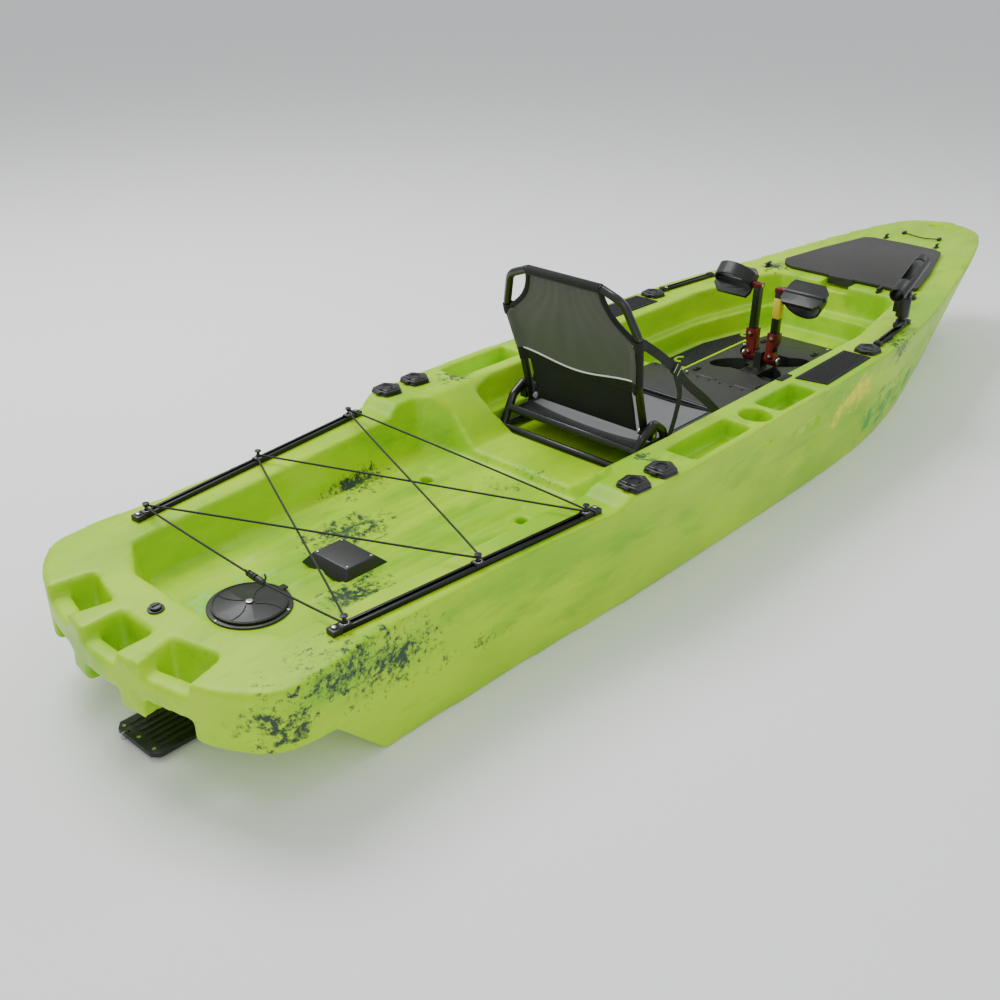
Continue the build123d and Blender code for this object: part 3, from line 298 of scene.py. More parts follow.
SMUDGES = [  # centre and reach, metres
    ((-1.70, -0.42, 0.27), (0.17, 0.16, 0.09)), ((-1.56, -0.42, 0.22), (0.20, 0.14, 0.12)),
    ((-1.83, -0.36, 0.22), (0.10, 0.12, 0.10)), ((-1.70, -0.19, 0.28), (0.10, 0.08, 0.08)),
    ((-1.07, 0.28, 0.20), (0.16, 0.10, 0.05)), ((-1.25, 0.10, 0.20), (0.18, 0.12, 0.03)),
    ((-1.34, 0.40, 0.31), (0.16, 0.05, 0.05)), ((-0.665, -0.335, 0.33), (0.05, 0.06, 0.06)),
    ((-0.60, 0.37, 0.33), (0.12, 0.07, 0.06)), ((-0.82, -0.05, 0.23), (0.14, 0.24, 0.04)),
    ((0.60, -0.42, 0.33), (0.13, 0.08, 0.07)), ((-1.42, -0.13, 0.20), (0.16, 0.10, 0.03)),
    ((-1.35, -0.45, 0.14), (0.30, 0.10, 0.05)), ((1.02, 0.26, 0.36), (0.12, 0.08, 0.05)),
    ((-1.12, 0.42, 0.15), (0.26, 0.12, 0.09)), ((0.90, 0.36, 0.2), (0.2, 0.12, 0.10)),
    ((1.66, -0.10, 0.28), (0.12, 0.10, 0.08)), ((-0.30, 0.45, 0.16), (0.22, 0.08, 0.08))]


def hull_finish():
    """Lime rotomoulded plastic with marbled swirls and dark smudges, painted highlight and painted shade in
    patches on the starboard side, and painted shadow under the seat.
    """
    mat, tree, shader, place = blank("lime_moulding")
    grain = use_group(tree, GRAIN, Position=place, Fine=420.0, Slow=3.2)
    warp = add(tree, "ShaderNodeVectorMath", operation="MULTIPLY")
    tree.links.new(place, warp.inputs[0])
    warp.inputs[1].default_value = (0.55, 1.5, 1.5)
    swirl = noise_node(tree, warp.outputs[0], 3.4, 5.0, 0.6)
    colour = blend_colour(tree, span(tree, swirl, 0.40, 0.62), (0.43, 0.72, 0.0, 1), (0.27, 0.56, 0.0, 1))
    streak = noise_node(tree, warp.outputs[0], 7.5, 7.0, 0.62)
    colour = blend_colour(tree, span(tree, streak, 0.56, 0.74, 0.0, 0.75), colour, (0.14, 0.42, 0.005, 1))
    # Patches at given points: the two pale yellow ones on the starboard flank are painted highlight, the two
    # deep green ones low on the starboard side are painted shade, the darker one on the floor under the seat
    # is painted shadow, and the last is a paler, bluer patch round the round hatch.
    for centre, reach, tint_and_painted_light in (((0.27, -0.46, 0.25), (0.24, 0.13, 0.10), (0.78, 0.78, 0.002, 1)),
                                ((-0.02, -0.46, 0.25), (0.14, 0.06, 0.05), (0.60, 0.80, 0.05, 1)),
                                ((0.62, -0.41, 0.11), (0.34, 0.16, 0.12), (0.02, 0.33, 0.02, 1)),
                                ((0.90, -0.36, 0.10), (0.22, 0.14, 0.08), (0.04, 0.36, 0.02, 1)),
                                ((-0.25, -0.20, 0.20), (0.20, 0.20, 0.05), (0.16, 0.50, 0.04, 1)),
                                ((-1.62, 0.06, 0.2), (0.16, 0.14, 0.05), (0.30, 0.72, 0.08, 1))):
        patch = use_group(tree, PATCH, Position=place, Centre=centre, Reach=reach, Speckle=9.0)
        amount = math_node(tree, "MULTIPLY", patch.outputs["Mask"], 1.0)
        colour = blend_colour(tree, amount, colour, tint_and_painted_light)
    for centre, reach in SMUDGES:
        patch = use_group(tree, PATCH, Position=place, Centre=centre, Reach=reach, Speckle=70.0)
        amount = math_node(tree, "MULTIPLY", patch.outputs["Mask"], 0.95)
        colour = blend_colour(tree, amount, colour, (0.012, 0.030, 0.034, 1))
    tree.links.new(colour, shader.inputs["Base Color"])
    tree.links.new(span(tree, grain.outputs["Tone"], 0.3, 0.7, 0.36, 0.50), shader.inputs["Roughness"])
    relief(tree, shader, grain.outputs["Height"], 0.25, 0.0012)
    shader.inputs["Specular IOR Level"].default_value = 0.26
    shader.inputs["Coat Weight"].default_value = 0.04
    shader.inputs["Coat Roughness"].default_value = 0.3
    return mat


def make_materials():
    black, soot = (0.0045, 0.0045, 0.0050), (0.0105, 0.0105, 0.0115)
    return {
        "hull_plastic": hull_finish(),
        "black_plastic": solid_finish("black_moulding", black, soot, (0.38, 0.52), coat=0.08),
        "pad_foam": solid_finish("pad_foam", (0.004, 0.004, 0.0045), (0.009, 0.009, 0.010), (0.7, 0.85),
                                 fine=1500.0),
        "deck_sheet": solid_finish("grey_sheet", (0.019, 0.020, 0.017), (0.037, 0.037, 0.032), (0.42, 0.6),
                                   fine=700.0),
        "frame_metal": solid_finish("powder_coat", (0.0035, 0.0037, 0.0042), (0.0085, 0.0088, 0.0098),
                                    (0.26, 0.4),
                                    fine=1600.0, coat=0.2),
        "track_metal": solid_finish("anodised_bar", (0.010, 0.010, 0.012), (0.025, 0.025, 0.028), (0.25, 0.4),
                                    metallic=0.7, stretch=(0.05, 1, 1)),
        "steel": solid_finish("stainless", (0.50, 0.50, 0.51), (0.70, 0.70, 0.71), (0.16, 0.32),
                              metallic=1.0),
        "red_casting": solid_finish("red_casting", (0.10, 0.0035, 0.007), (0.19, 0.0070, 0.012), (0.3, 0.45),
                                    metallic=0.35, coat=0.15),
        "seat_mesh": cloth_finish("seat_mesh", (0.065, 0.067, 0.070), (0.17, 0.175, 0.18), 420.0,
                                  ("X", "Y"), sheen=0.15),
        "back_cloth": cloth_finish("back_cloth", (0.056, 0.053, 0.056), (0.112, 0.106, 0.112), 620.0,
                                   ("Y", "Z"), sheen=0.1),
        "black_cloth": cloth_finish("black_cloth", (0.0025, 0.0025, 0.003), (0.008, 0.008, 0.009), 700.0,
                                    ("Y", "Z"), sheen=0.05),
        "webbing": cloth_finish("webbing", (0.003, 0.003, 0.0035), (0.011, 0.011, 0.012), 450.0, ("X", "Z"),
                                sheen=0.05),
        "piping": solid_finish("white_piping", (0.84, 0.85, 0.90), (0.94, 0.95, 0.98), (0.4, 0.55)),
        "cord": solid_finish("cord_sheath", (0.003, 0.003, 0.0035), (0.011, 0.011, 0.012), (0.55, 0.7),
                             fine=1800.0,
                             slow=240.0, depth=0.0006),
        "fin_rubber": solid_finish("fin_rubber", (0.006, 0.006, 0.0065), (0.014, 0.014, 0.016), (0.5, 0.66)),
        "yellow_band": solid_finish("yellow_band", (0.62, 0.50, 0.03), (0.78, 0.62, 0.05), (0.35, 0.5)),
    }


# ---------------------------------------------------------------- making pieces
MATERIAL = make_materials()


def link(name, data, body, finish):
    piece = bpy.data.objects.new(name, data)
    bpy.context.scene.collection.objects.link(piece)
    data.materials.clear()
    data.materials.append(MATERIAL[finish])
    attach(piece, body)
    return piece


def smooth_mesh(mesh, angle=35.0):
    for face in mesh.polygons:
        face.use_smooth = True
    mesh.set_sharp_from_angle(angle=math.radians(angle))


def from_bmesh(name, bm, body, finish, angle=35.0):
    bmesh.ops.recalc_face_normals(bm, faces=bm.faces)
    mesh = bpy.data.meshes.new(name)
    bm.to_mesh(mesh)
    bm.free()
    smooth_mesh(mesh, angle)
    return link(name, mesh, body, finish)


def round_edges(bm, width, segments=2, angle=32.0):
    limit = math.radians(angle)
    edges = [e for e in bm.edges if len(e.link_faces) == 2 and e.calc_face_angle(0.0) > limit]
    bmesh.ops.bevel(bm, geom=edges, offset=width, segments=segments, profile=0.5, affect="EDGES",
                    clamp_overlap=True)


def cad_bmesh(node):
    bm = bmesh.new()
    bm.from_mesh(nodes[node].data)
    bmesh.ops.remove_doubles(bm, verts=bm.verts, dist=2e-6)
    return bm


def refined(node, width=0.0008, finish=None):
    """The CAD shape with its edges broken, as a moulded or machined piece has."""
    bm = cad_bmesh(node)
    bmesh.ops.dissolve_limit(bm, angle_limit=math.radians(0.6), verts=bm.verts, edges=bm.edges)
    if width:
        round_edges(bm, width)
    slot = SLOT_OF[node]
    piece = from_bmesh(node + "_finished", bm, nodes[node]["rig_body"], finish or slot)
    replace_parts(piece, node)
    return piece


def add_box(bm, low, high, place=Matrix(), width=0.0, segments=2):
    part = bmesh.new()
    bmesh.ops.create_cube(part, size=1.0)
    size = Vector(high) - Vector(low)
    middle = (Vector(high) + Vector(low)) / 2
    for v in part.verts:
        v.co = Vector((v.co.x * size.x, v.co.y * size.y, v.co.z * size.z)) + middle
    if width:
        bmesh.ops.bevel(part, geom=part.edges[:], offset=width, segments=segments, profile=0.5,
                        affect="EDGES")
    join(bm, part, place)


def add_turned(bm, profile, place, steps=32):
    """A turned shape: (radius, height) points, closed on the axis where the radius is nought."""
    part = bmesh.new()
    rings = []
    for r, z in profile:
        if r < 1e-7:
            rings.append([part.verts.new((0, 0, z))])
        else:
            rings.append([part.verts.new((r * math.cos(2 * math.pi * i / steps),
                                          r * math.sin(2 * math.pi * i / steps), z)) for i in range(steps)])
    for a, b in zip(rings, rings[1:]):
        for i in range(steps):
            j = (i + 1) % steps
            corners = [a[i % len(a)], a[j % len(a)], b[j % len(b)], b[i % len(b)]]
            unique = list(dict.fromkeys(corners))
            if len(unique) > 2:
                part.faces.new(unique)
    join(bm, part, place)


def join(bm, part, place):
    part.transform(place)
    mesh = bpy.data.meshes.new("part")
    part.to_mesh(mesh)
    part.free()
    bm.from_mesh(mesh)
    bpy.data.meshes.remove(mesh)


def along(direction, place):
    """A placing with Z along the direction."""
    return Matrix.Translation(place) @ Vector(direction).to_track_quat("Z", "Y").to_matrix().to_4x4()


def dome(radius, height):
    """A screw or rivet head."""
    return [(radius, 0), (radius, height * 0.35), (radius * 0.8, height * 0.8),
            (radius * 0.4, height), (0, height)]


def add_tube(bm, points, radius, steps=10, closed=False):
    """A round bar that follows the points, with closed ends."""
    part = bmesh.new()
    points = [Vector(p) for p in points]
    count = len(points)
    side = None
    rings = []
    for i, p in enumerate(points):
        ahead = points[(i + 1) % count] if closed or i + 1 < count else p
        back = points[i - 1] if closed or i else p
        way = (ahead - back).normalized()
        if side is None:
            side = way.orthogonal().normalized()
        side = (side - way * side.dot(way)).normalized()
        other = way.cross(side)
        rings.append([part.verts.new(p + (side * math.cos(2 * math.pi * k / steps)
                                          + other * math.sin(2 * math.pi * k / steps)) * radius)
                      for k in range(steps)])
    pairs = list(zip(rings, rings[1:])) + ([(rings[-1], rings[0])] if closed else [])
    for a, b in pairs:
        for k in range(steps):
            part.faces.new([a[k], a[(k + 1) % steps], b[(k + 1) % steps], b[k]])
    if not closed:
        part.faces.new(rings[0][::-1])
        part.faces.new(rings[-1])
    join(bm, part, Matrix())


def smooth_line(points, parts=8):
    """Catmull-Rom points through the given ones."""
    points = [Vector(p) for p in points]
    padded = [points[0] * 2 - points[1]] + points + [points[-1] * 2 - points[-2]]
    line = []
    for a, b, c, d in zip(padded, padded[1:], padded[2:], padded[3:]):
        for i in range(parts):
            t = i / parts
            line.append(0.5 * ((2 * b) + (c - a) * t + (2 * a - 5 * b + 4 * c - d) * t * t
                               + (3 * b - a - 3 * c + d) * t ** 3))
    return line + [points[-1]]


# ---------------------------------------------------------------- places on the deck
SHEER = [(-1.995, 0.284), (-1.685, 0.303), (-0.890, 0.317), (-0.858, 0.343), (0.390, 0.349),
         (0.960, 0.357), (1.995, 0.411)]


def deck_height(x):
    for (x0, z0), (x1, z1) in zip(SHEER, SHEER[1:]):
        if x0 <= x <= x1:
            return z0 + (z1 - z0) * (x - x0) / (x1 - x0)
    return SHEER[-1][1]


def deck_tilt(x):
    return math.atan2(deck_height(x + 0.005) - deck_height(x - 0.005), 0.010)


def on_deck(x, y, lift=0.0):
    return (Matrix.Translation((x, y, deck_height(x))) @ Matrix.Rotation(-deck_tilt(x), 4, "Y")
            @ Matrix.Translation((0, 0, lift)))


# ---------------------------------------------------------------- cords
BUNGEE_ROUTE = [
    (-1.6550, -0.1160, 0.3230), (-1.6416, -0.3381, 0.3210), (-1.6310, -0.3400, 0.3210),
    (-1.3004, 0.3738, 0.3270), (-1.2912, 0.3736, 0.3270), (-0.9773, -0.4075, 0.3330),
    (-0.9659, -0.4052, 0.3330), (-0.9659, 0.4052, 0.3410), (-0.9773, 0.4075, 0.3410),
    (-1.2912, -0.3736, 0.3355), (-1.3004, -0.3738, 0.3355), (-1.6310, 0.3402, 0.3290),
    (-1.6419, 0.3379, 0.3290), (-1.6510, -0.0520, 0.3230)]
HANDLE_ROUTE = [(1.7040, 0.06515, 0.4000), (1.6980, 0.0420, 0.3992), (1.6900, 0.0160, 0.3986),
                (1.6840, -0.0120, 0.3984), (1.6910, -0.0380, 0.3988), (1.7040, -0.06515, 0.4000)]


def cord_curve(name, route, radius, body, finish):
    data = bpy.data.curves.new(name, "CURVE")
    data.dimensions = "3D"
    data.bevel_depth = radius
    data.bevel_resolution = 4
    data.resolution_u = 14
    data.use_fill_caps = True
    spline = data.splines.new("NURBS")
    spline.points.add(len(route) - 1)
    for point, place in zip(spline.points, route):
        point.co = (*place, 1.0)
    spline.order_u = 3
    spline.use_endpoint_u = True
    return link(name, data, body, finish)


def cord_lock():
    """The plastic lock on the elastic cord, with a knot and a short tail at each end."""
    a, b = Vector(BUNGEE_ROUTE[0]), Vector(BUNGEE_ROUTE[-1])
    way = (b - a).normalized()
    length = (b - a).length
    bm = bmesh.new()
    sleeve = [(0, 0.0006), (0.0045, 0.0006), (0.0062, 0.003), (0.0050, 0.010), (0.0078, 0.016),
              (0.0078, 0.024),
              (0.0048, 0.028), (0.0048, 0.036), (0.0078, 0.040), (0.0078, 0.048), (0.0050, 0.054),
              (0.0060, 0.060), (0.0042, length - 0.0006), (0, length - 0.0006)]
    add_turned(bm, sleeve, along(way, a), 20)
    for share, spread in ((0.12, 0.007), (0.5, 0.008), (0.88, 0.007)):
        middle = a + way * length * share
        spoke = way.orthogonal().normalized() * spread * 0.75
        ring = [middle + Matrix.Rotation(2 * math.pi * i / 18, 3, way) @ spoke
                for i in range(18)]
        add_tube(bm, ring, 0.0022, 8, closed=True)
    add_tube(bm, smooth_line([a + way * 0.008, a + Vector((0.006, 0.004, 0.008)),
                              a + Vector((0.010, 0.012, 0.013))], 5),
             0.0022, 8)
    add_tube(bm, smooth_line([b - way * 0.008, b + Vector((-0.007, -0.004, 0.008)),
                              b + Vector((-0.010, -0.012, 0.013))], 5),
             0.0022, 8)
    piece = from_bmesh("cord_lock", bm, "hull", "black_plastic")
    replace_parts(piece, "bungee_adjuster")
    return piece


def make_cords():
    lock = cord_lock()
    bungee = cord_curve("elastic_cord", BUNGEE_ROUTE, 0.0025, "hull", "cord")
    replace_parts(bungee, "bungee_cord")
    handle = cord_curve("bow_cord", HANDLE_ROUTE, 0.002, "hull", "cord")
    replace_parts(handle, "bow_handle_cord")


# ---------------------------------------------------------------- hull
def outer_shell(bm):
    """Keeps the connected shell that spans the most, so the sealed hollow inside goes."""
    bm.verts.ensure_lookup_table()
    unseen = set(bm.verts)
    shells = []
    while unseen:
        stack = [unseen.pop()]
        shell = []
        while stack:
            v = stack.pop()
            shell.append(v)
            for e in v.link_edges:
                w = e.other_vert(v)
                if w in unseen:
                    unseen.remove(w)
                    stack.append(w)
        shells.append(shell)
    reach = [max(v.co.x for v in s) - min(v.co.x for v in s) for s in shells]
    keep = reach.index(max(reach))
    drop = [v for i, s in enumerate(shells) if i != keep for v in s]
    bmesh.ops.delete(bm, geom=drop, context="VERTS")


SKIN_VOXEL = 0.0065
SKIN_SOFTENING = 7          # rounds of smoothing
RIB_PITCH = 0.082
RIB_HEIGHT = 0.0058
FLUTE_DEPTH = 0.0042
FLUTE_HALF_HEIGHT = 0.013


def ramp(value, low, high):
    return max(0.0, min(1.0, (value - low) / (high - low)))


def floor_rib(x, y, z):
    """Rounded ribs along the tank well's floor, dying out at both ends."""
    if not (0.190 < z < 0.2075 and -1.52 < x < -0.96 and abs(y) < 0.262):
        return 0.0
    ends = min(ramp(x, -1.52, -1.48), ramp(-x, 0.96, 1.00))
    across = abs((abs(y) + RIB_PITCH / 2) % RIB_PITCH - RIB_PITCH / 2)
    return RIB_HEIGHT * ends * ramp(-across, -0.019, -0.007)


def side_dent(x, y, z):
    """One long shallow flute moulded into each of the topsides."""
    if abs(y) < 0.30 or not (0.06 < z < 0.27) or abs(x) > 1.75:
        return 0.0, 0
    centre = 0.178 + 0.030 * (x / 1.9) ** 2
    depth = FLUTE_DEPTH * math.exp(-((z - centre) / FLUTE_HALF_HEIGHT) ** 2) * ramp(1.75 - abs(x), 0.0, 0.25)
    return depth, -1 if y > 0 else 1


def make_hull():
    bm = cad_bmesh("hull")
    outer_shell(bm)
    mesh = bpy.data.meshes.new("hull_skin")
    bm.to_mesh(mesh)
    bm.free()
    skin = link("hull_skin", mesh, "hull", "hull_plastic")
    remesh = skin.modifiers.new("even", "REMESH")
    remesh.mode = "VOXEL"
    remesh.voxel_size = SKIN_VOXEL
    soften = skin.modifiers.new("soften", "SMOOTH")
    soften.factor = 0.5
    soften.iterations = SKIN_SOFTENING
    bpy.context.view_layer.update()
    done = bpy.data.meshes.new_from_object(skin.evaluated_get(bpy.context.evaluated_depsgraph_get()))
    skin.modifiers.clear()
    skin.data = done
    done.materials.clear()
    done.materials.append(MATERIAL["hull_plastic"])
    for v in done.vertices:
        v.co.z += floor_rib(*v.co)
        dent, way = side_dent(*v.co)
        v.co.y += dent * way
    for face in done.polygons:
        face.use_smooth = True
    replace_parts(skin, "hull")


# ---------------------------------------------------------------- seat
RAKE = math.radians(17.5)
PIVOT = Vector((-0.458, 0, 0.297))
RISE = Vector((-math.sin(RAKE), 0, math.cos(RAKE)))
FORE = Vector((math.cos(RAKE), 0, math.sin(RAKE)))


def on_back(up, y, off=0.0):
    return PIVOT + RISE * up + FORE * off + Vector((0, y, 0))


def table(rows, x):
    for (x0, v0), (x1, v1) in zip(rows, rows[1:]):
        if x <= x1:
            return v0 + (v1 - v0) * max(0.0, (x - x0) / (x1 - x0))
    return rows[-1][1]


def sheet_mesh(name, rows, body, finish, thick, dark_below=None):
    """Rows of points as one cloth, given its thickness; its flat size comes back too."""
    mesh = bpy.data.meshes.new(name)
    count = len(rows[0])
    faces = [(r * count + i, r * count + i + 1, (r + 1) * count + i + 1, (r + 1) * count + i)
             for r in range(len(rows) - 1) for i in range(count - 1)]
    mesh.from_pydata([tuple(p) for row in rows for p in row], [], faces)
    smooth_mesh(mesh, 60.0)
    piece = link(name, mesh, body, finish)
    if dark_below:
        mesh.materials.append(MATERIAL["black_cloth"])
        for face in mesh.polygons:
            if dark_below(face.center):
                face.material_index = 1
    area = sum(face.area for face in mesh.polygons)
    width = max(sum((b - a).length for a, b in zip(row, row[1:])) for row in rows)
    columns = [[row[i] for row in rows] for i in range(count)]
    length = max(sum((b - a).length for a, b in zip(column, column[1:])) for column in columns)
    solid = piece.modifiers.new("thickness", "SOLIDIFY")
    solid.thickness = thick
    solid.offset = 0
    return piece, (width, length), area


def piping_up(y):
    return 0.158 - 0.010 * math.cos(math.pi * min(1.0, abs(y) / 0.19))


def make_back():
    """Stretched cloth from the lower hem to the top tube, cut away round the hand holds."""
    widths = [(0.130, 0.197), (0.150, 0.199), (0.222, 0.208), (0.276, 0.213), (0.300, 0.196),
              (0.322, 0.170), (0.345, 0.148), (0.372, 0.131), (0.400, 0.121), (0.428, 0.117)]
    rows = []
    for r in range(61):
        up = 0.130 + (0.428 - 0.130) * r / 60
        half = table(widths, up)
        row = []
        for i in range(49):
            u = i / 24 - 1
            belly = 0.010 * (1 - u * u) * math.sin(math.pi * min(1.0, (up - 0.13) / 0.298))
            fold = 0.0012 * math.sin(26 * up + 9 * u) * (1 - abs(u)) + 0.001 * math.sin(40 * u * up * 2)
            off = -belly + fold
            wrap = max(0.0, abs(u) - 0.90) / 0.10
            off -= 0.0128 * math.sin(wrap * math.pi / 2) if up < 0.29 else 0.0
            row.append(on_back(up, u * half, off - 0.002))
        rows.append(row)

    def band(p):
        up = (Vector(p) - PIVOT).dot(RISE)
        return up < piping_up(p[1])

    back, flat, area = sheet_mesh("back_cloth", rows, "seat_back", "back_cloth", 0.0022, band)
    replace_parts(back, "seat_back_panel")
    bm = bmesh.new()
    line = [on_back(piping_up(y), y, -0.0052 - 0.010 * (1 - (y / 0.2) ** 2) * math.sin(math.pi * 0.09))
            for y in [(-0.196 + 0.392 * i / 40) for i in range(41)]]
    add_tube(bm, line, 0.0024, 8)
    from_bmesh("back_piping", bm, "seat_back", "piping")
    bm = bmesh.new()
    for side in (-1, 1):
        curve = [(0.284, 0.208), (0.298, 0.198), (0.316, 0.176), (0.338, 0.153), (0.364, 0.135),
                 (0.392, 0.123),
                 (0.418, 0.118)]
        add_tube(bm, smooth_line([on_back(up, side * y, -0.002) for up, y in curve], 5), 0.0075, 12)
        sleeve = [(0.150, 0.1975), (0.210, 0.2065), (0.276, 0.2150)]
        add_tube(bm, smooth_line([on_back(up, side * y) for up, y in sleeve], 5), 0.0125, 16)
    top = [on_back(0.425, y) for y in (-0.119, -0.06, 0, 0.06, 0.119)]
    add_tube(bm, top, 0.0126, 16)
    from_bmesh("back_binding", bm, "seat_back", "black_cloth")


def make_rear_panel():
    rows = []
    for r in range(41):
        up = -0.004 + 0.139 * r / 40
        row = []
        for i in range(49):
            u = i / 24 - 1
            sag = 0.006 * math.cos(u * math.pi / 2) * math.sin(math.pi * r / 40)
            crease = 0.0015 * math.sin(7 * u + 22 * up) * math.sin(math.pi * r / 40)
            row.append(on_back(up, u * 0.172, -sag + crease))
        rows.append(row)
    panel, flat, area = sheet_mesh("rear_cloth", rows, "seat_back", "black_cloth", 0.0022)
    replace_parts(panel, "seat_rear_panel")


def make_sling():
    """The seat's mesh, wrapped over the side rails and sagging between them."""
    x0, x1 = -0.512, -0.138
    rows = []
    for r in range(41):
        x = x0 + (x1 - x0) * r / 40
        row = []
        for i in range(57):
            u = i / 28 - 1
            z = 0.2635 - 0.020 * (1 - abs(u) ** 2.4) * math.sin(math.pi * (0.12 + 0.76 * r / 40))
            z += 0.0008 * math.sin(46 * x + 3 * u)
            row.append(Vector((x, u * 0.2105, z)))
        rows.append(row)
    sling, flat, area = sheet_mesh("seat_cloth", rows, "hull", "seat_mesh", 0.0024,
                                   dark_below=lambda p: p[0] < -0.438)
    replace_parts(sling, "seat_sling")
    bm = bmesh.new()
    for x in (x0 + 0.004, x1 - 0.004):
        hem_line = [(x, -0.210 + 0.042 * i, 0.2660 - 0.008 * (1 - ((i - 5) / 5) ** 2)) for i in range(11)]
        add_tube(bm, hem_line, 0.004, 8)
    for side in (-1, 1):
        add_tube(bm, [(x0 + (x1 - x0) * i / 12, side * 0.2095, 0.2655) for i in range(13)], 0.0042, 8)
    hem = from_bmesh("seat_hem", bm, "hull", "black_cloth")


def add_ribbon(bm, points, width, thick, lean=0.0):
    """Flat webbing through the points, its width upright and across its run."""
    line = smooth_line(points, 8)
    part = bmesh.new()
    rings = []
    for i, p in enumerate(line):
        way = (line[min(i + 1, len(line) - 1)] - line[max(i - 1, 0)]).normalized()
        out = Vector((0, 1, 0)) * math.cos(lean) + Vector((1, 0, 0)) * math.sin(lean)
        wide = way.cross(out).normalized() * width / 2
        out = wide.normalized().cross(way) * thick / 2
        corners = ((-1, -1), (1, -1), (1, 1), (-1, 1))
        rings.append([part.verts.new(p + wide * a + out * b) for a, b in corners])
    for a, b in zip(rings, rings[1:]):
        for k in range(4):
            part.faces.new([a[k], a[(k + 1) % 4], b[(k + 1) % 4], b[k]])
    part.faces.new(rings[0][::-1])
    part.faces.new(rings[-1])
    join(bm, part, Matrix())


def make_straps():
    straps, metal = bmesh.new(), bmesh.new()
    for side in (-1, 1):
        y = side * 0.2382
        shoulder = on_back(0.285, side * 0.2265, 0.008)
        buckle = Vector((-0.395, y, 0.470))
        add_ribbon(straps, [shoulder, (shoulder + buckle) / 2 + Vector((0, side * 0.003, 0.002)), buckle],
                   0.025, 0.002)
        add_ribbon(straps, [buckle, Vector((-0.330, y, 0.410)), Vector((-0.230, y, 0.335)),
                            Vector((-0.140, y, 0.262))],
                   0.025, 0.0022)
        add_ribbon(straps, [buckle + Vector((-0.004, side * 0.0022, -0.010)),
                            Vector((-0.372, y + side * 0.003, 0.400)),
                            Vector((-0.383, y + side * 0.004, 0.340)),
                            Vector((-0.402, y + side * 0.003, 0.285)),
                            Vector((-0.414, y + side * 0.001, 0.236))], 0.021, 0.0016)
        add_box(straps, (-0.020, -0.0035, -0.016), (0.020, 0.0035, 0.016),
                Matrix.Translation(buckle) @ Matrix.Rotation(math.radians(38), 4, "Y"), 0.0012)
        for k in (-0.011, 0.011):
            place = Matrix.Translation(buckle + Vector((k * 0.8, side * 0.004, -k * 0.6)))
            add_box(metal, (-0.0016, -0.001, -0.013), (0.0016, 0.001, 0.013),
                    place @ Matrix.Rotation(math.radians(38), 4, "Y"), 0.0004)
    loops = bmesh.new()
    band = [(0.0128, -0.014), (0.0150, -0.014), (0.0156, 0.0), (0.0150, 0.014), (0.0128, 0.014)]
    for side in (-1, 1):
        add_turned(loops, band + band[:1], along(RISE, on_back(0.285, side * 0.2165)), 24)
        add_box(loops, (-0.004, -0.003, -0.0125), (0.014, 0.003, 0.0125),
                Matrix.Translation(on_back(0.285, side * 0.2285)) @ Matrix.Rotation(-RAKE, 4, "Y"), 0.001)
    from_bmesh("post_loops", loops, "seat_back", "webbing")
    strap = from_bmesh("side_straps", straps, "hull", "webbing")
    slides = from_bmesh("strap_slides", metal, "hull", "steel")
    for piece in (strap, slides):
        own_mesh(piece)
    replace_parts(strap, "seat_straps")


# ---------------------------------------------------------------- pads
def inside(point, outline):
    x, y = point
    odd = False
    for (x0, y0), (x1, y1) in zip(outline, outline[1:] + outline[:1]):
        if (y0 > y) != (y1 > y) and x < (x1 - x0) * (y - y0) / (y1 - y0) + x0:
            odd = not odd
    return odd


def clear_of_edge(point, outline, margin):
    x, y = point
    steps = ((margin, 0), (-margin, 0), (0, margin), (0, -margin))
    return all(inside((x + dx, y + dy), outline) for dx, dy in steps)


def add_pad(bm, outline, base, thick, slope, pitch, holes=()):
    """A foam pad with a moulded field of raised lozenges."""
    part = bmesh.new()
    plate = part.faces.new([part.verts.new((x, y, 0)) for x, y in outline])
    raised = bmesh.ops.extrude_face_region(part, geom=[plate])
    for v in [g for g in raised["geom"] if isinstance(g, bmesh.types.BMVert)]:
        v.co.z += thick
    round_edges(part, 0.0012, 2, 40.0)
    xs, ys = [p[0] for p in outline], [p[1] for p in outline]
    row = 0
    y = min(ys)
    while y < max(ys):
        x = min(xs) + (pitch / 2 if row % 2 else 0)
        while x < max(xs):
            centre = (x, y)
            free = all(math.hypot(x - hx, y - hy) > hr + pitch * 0.4 for hx, hy, hr in holes)
            if free and clear_of_edge(centre, outline, pitch * 0.62):
                low = [part.verts.new((x + dx, y + dy, thick - 0.0002)) for dx, dy in
                       ((pitch * 0.44, 0), (0, pitch * 0.27), (-pitch * 0.44, 0), (0, -pitch * 0.27))]
                high = [part.verts.new((x + dx, y + dy, thick + 0.0012)) for dx, dy in
                        ((pitch * 0.28, 0), (0, pitch * 0.16), (-pitch * 0.28, 0), (0, -pitch * 0.16))]
                part.faces.new(high)
                part.faces.new(low[::-1])
                for k in range(4):
                    part.faces.new([low[k], low[(k + 1) % 4], high[(k + 1) % 4], high[k]])
            x += pitch
        y += pitch * 0.33
        row += 1
    join(bm, part, Matrix.Translation((0, 0, base)) @ Matrix.Rotation(-slope, 4, "Y"))


def mirrored(outline):
    return [(x, -y) for x, y in reversed(outline)]


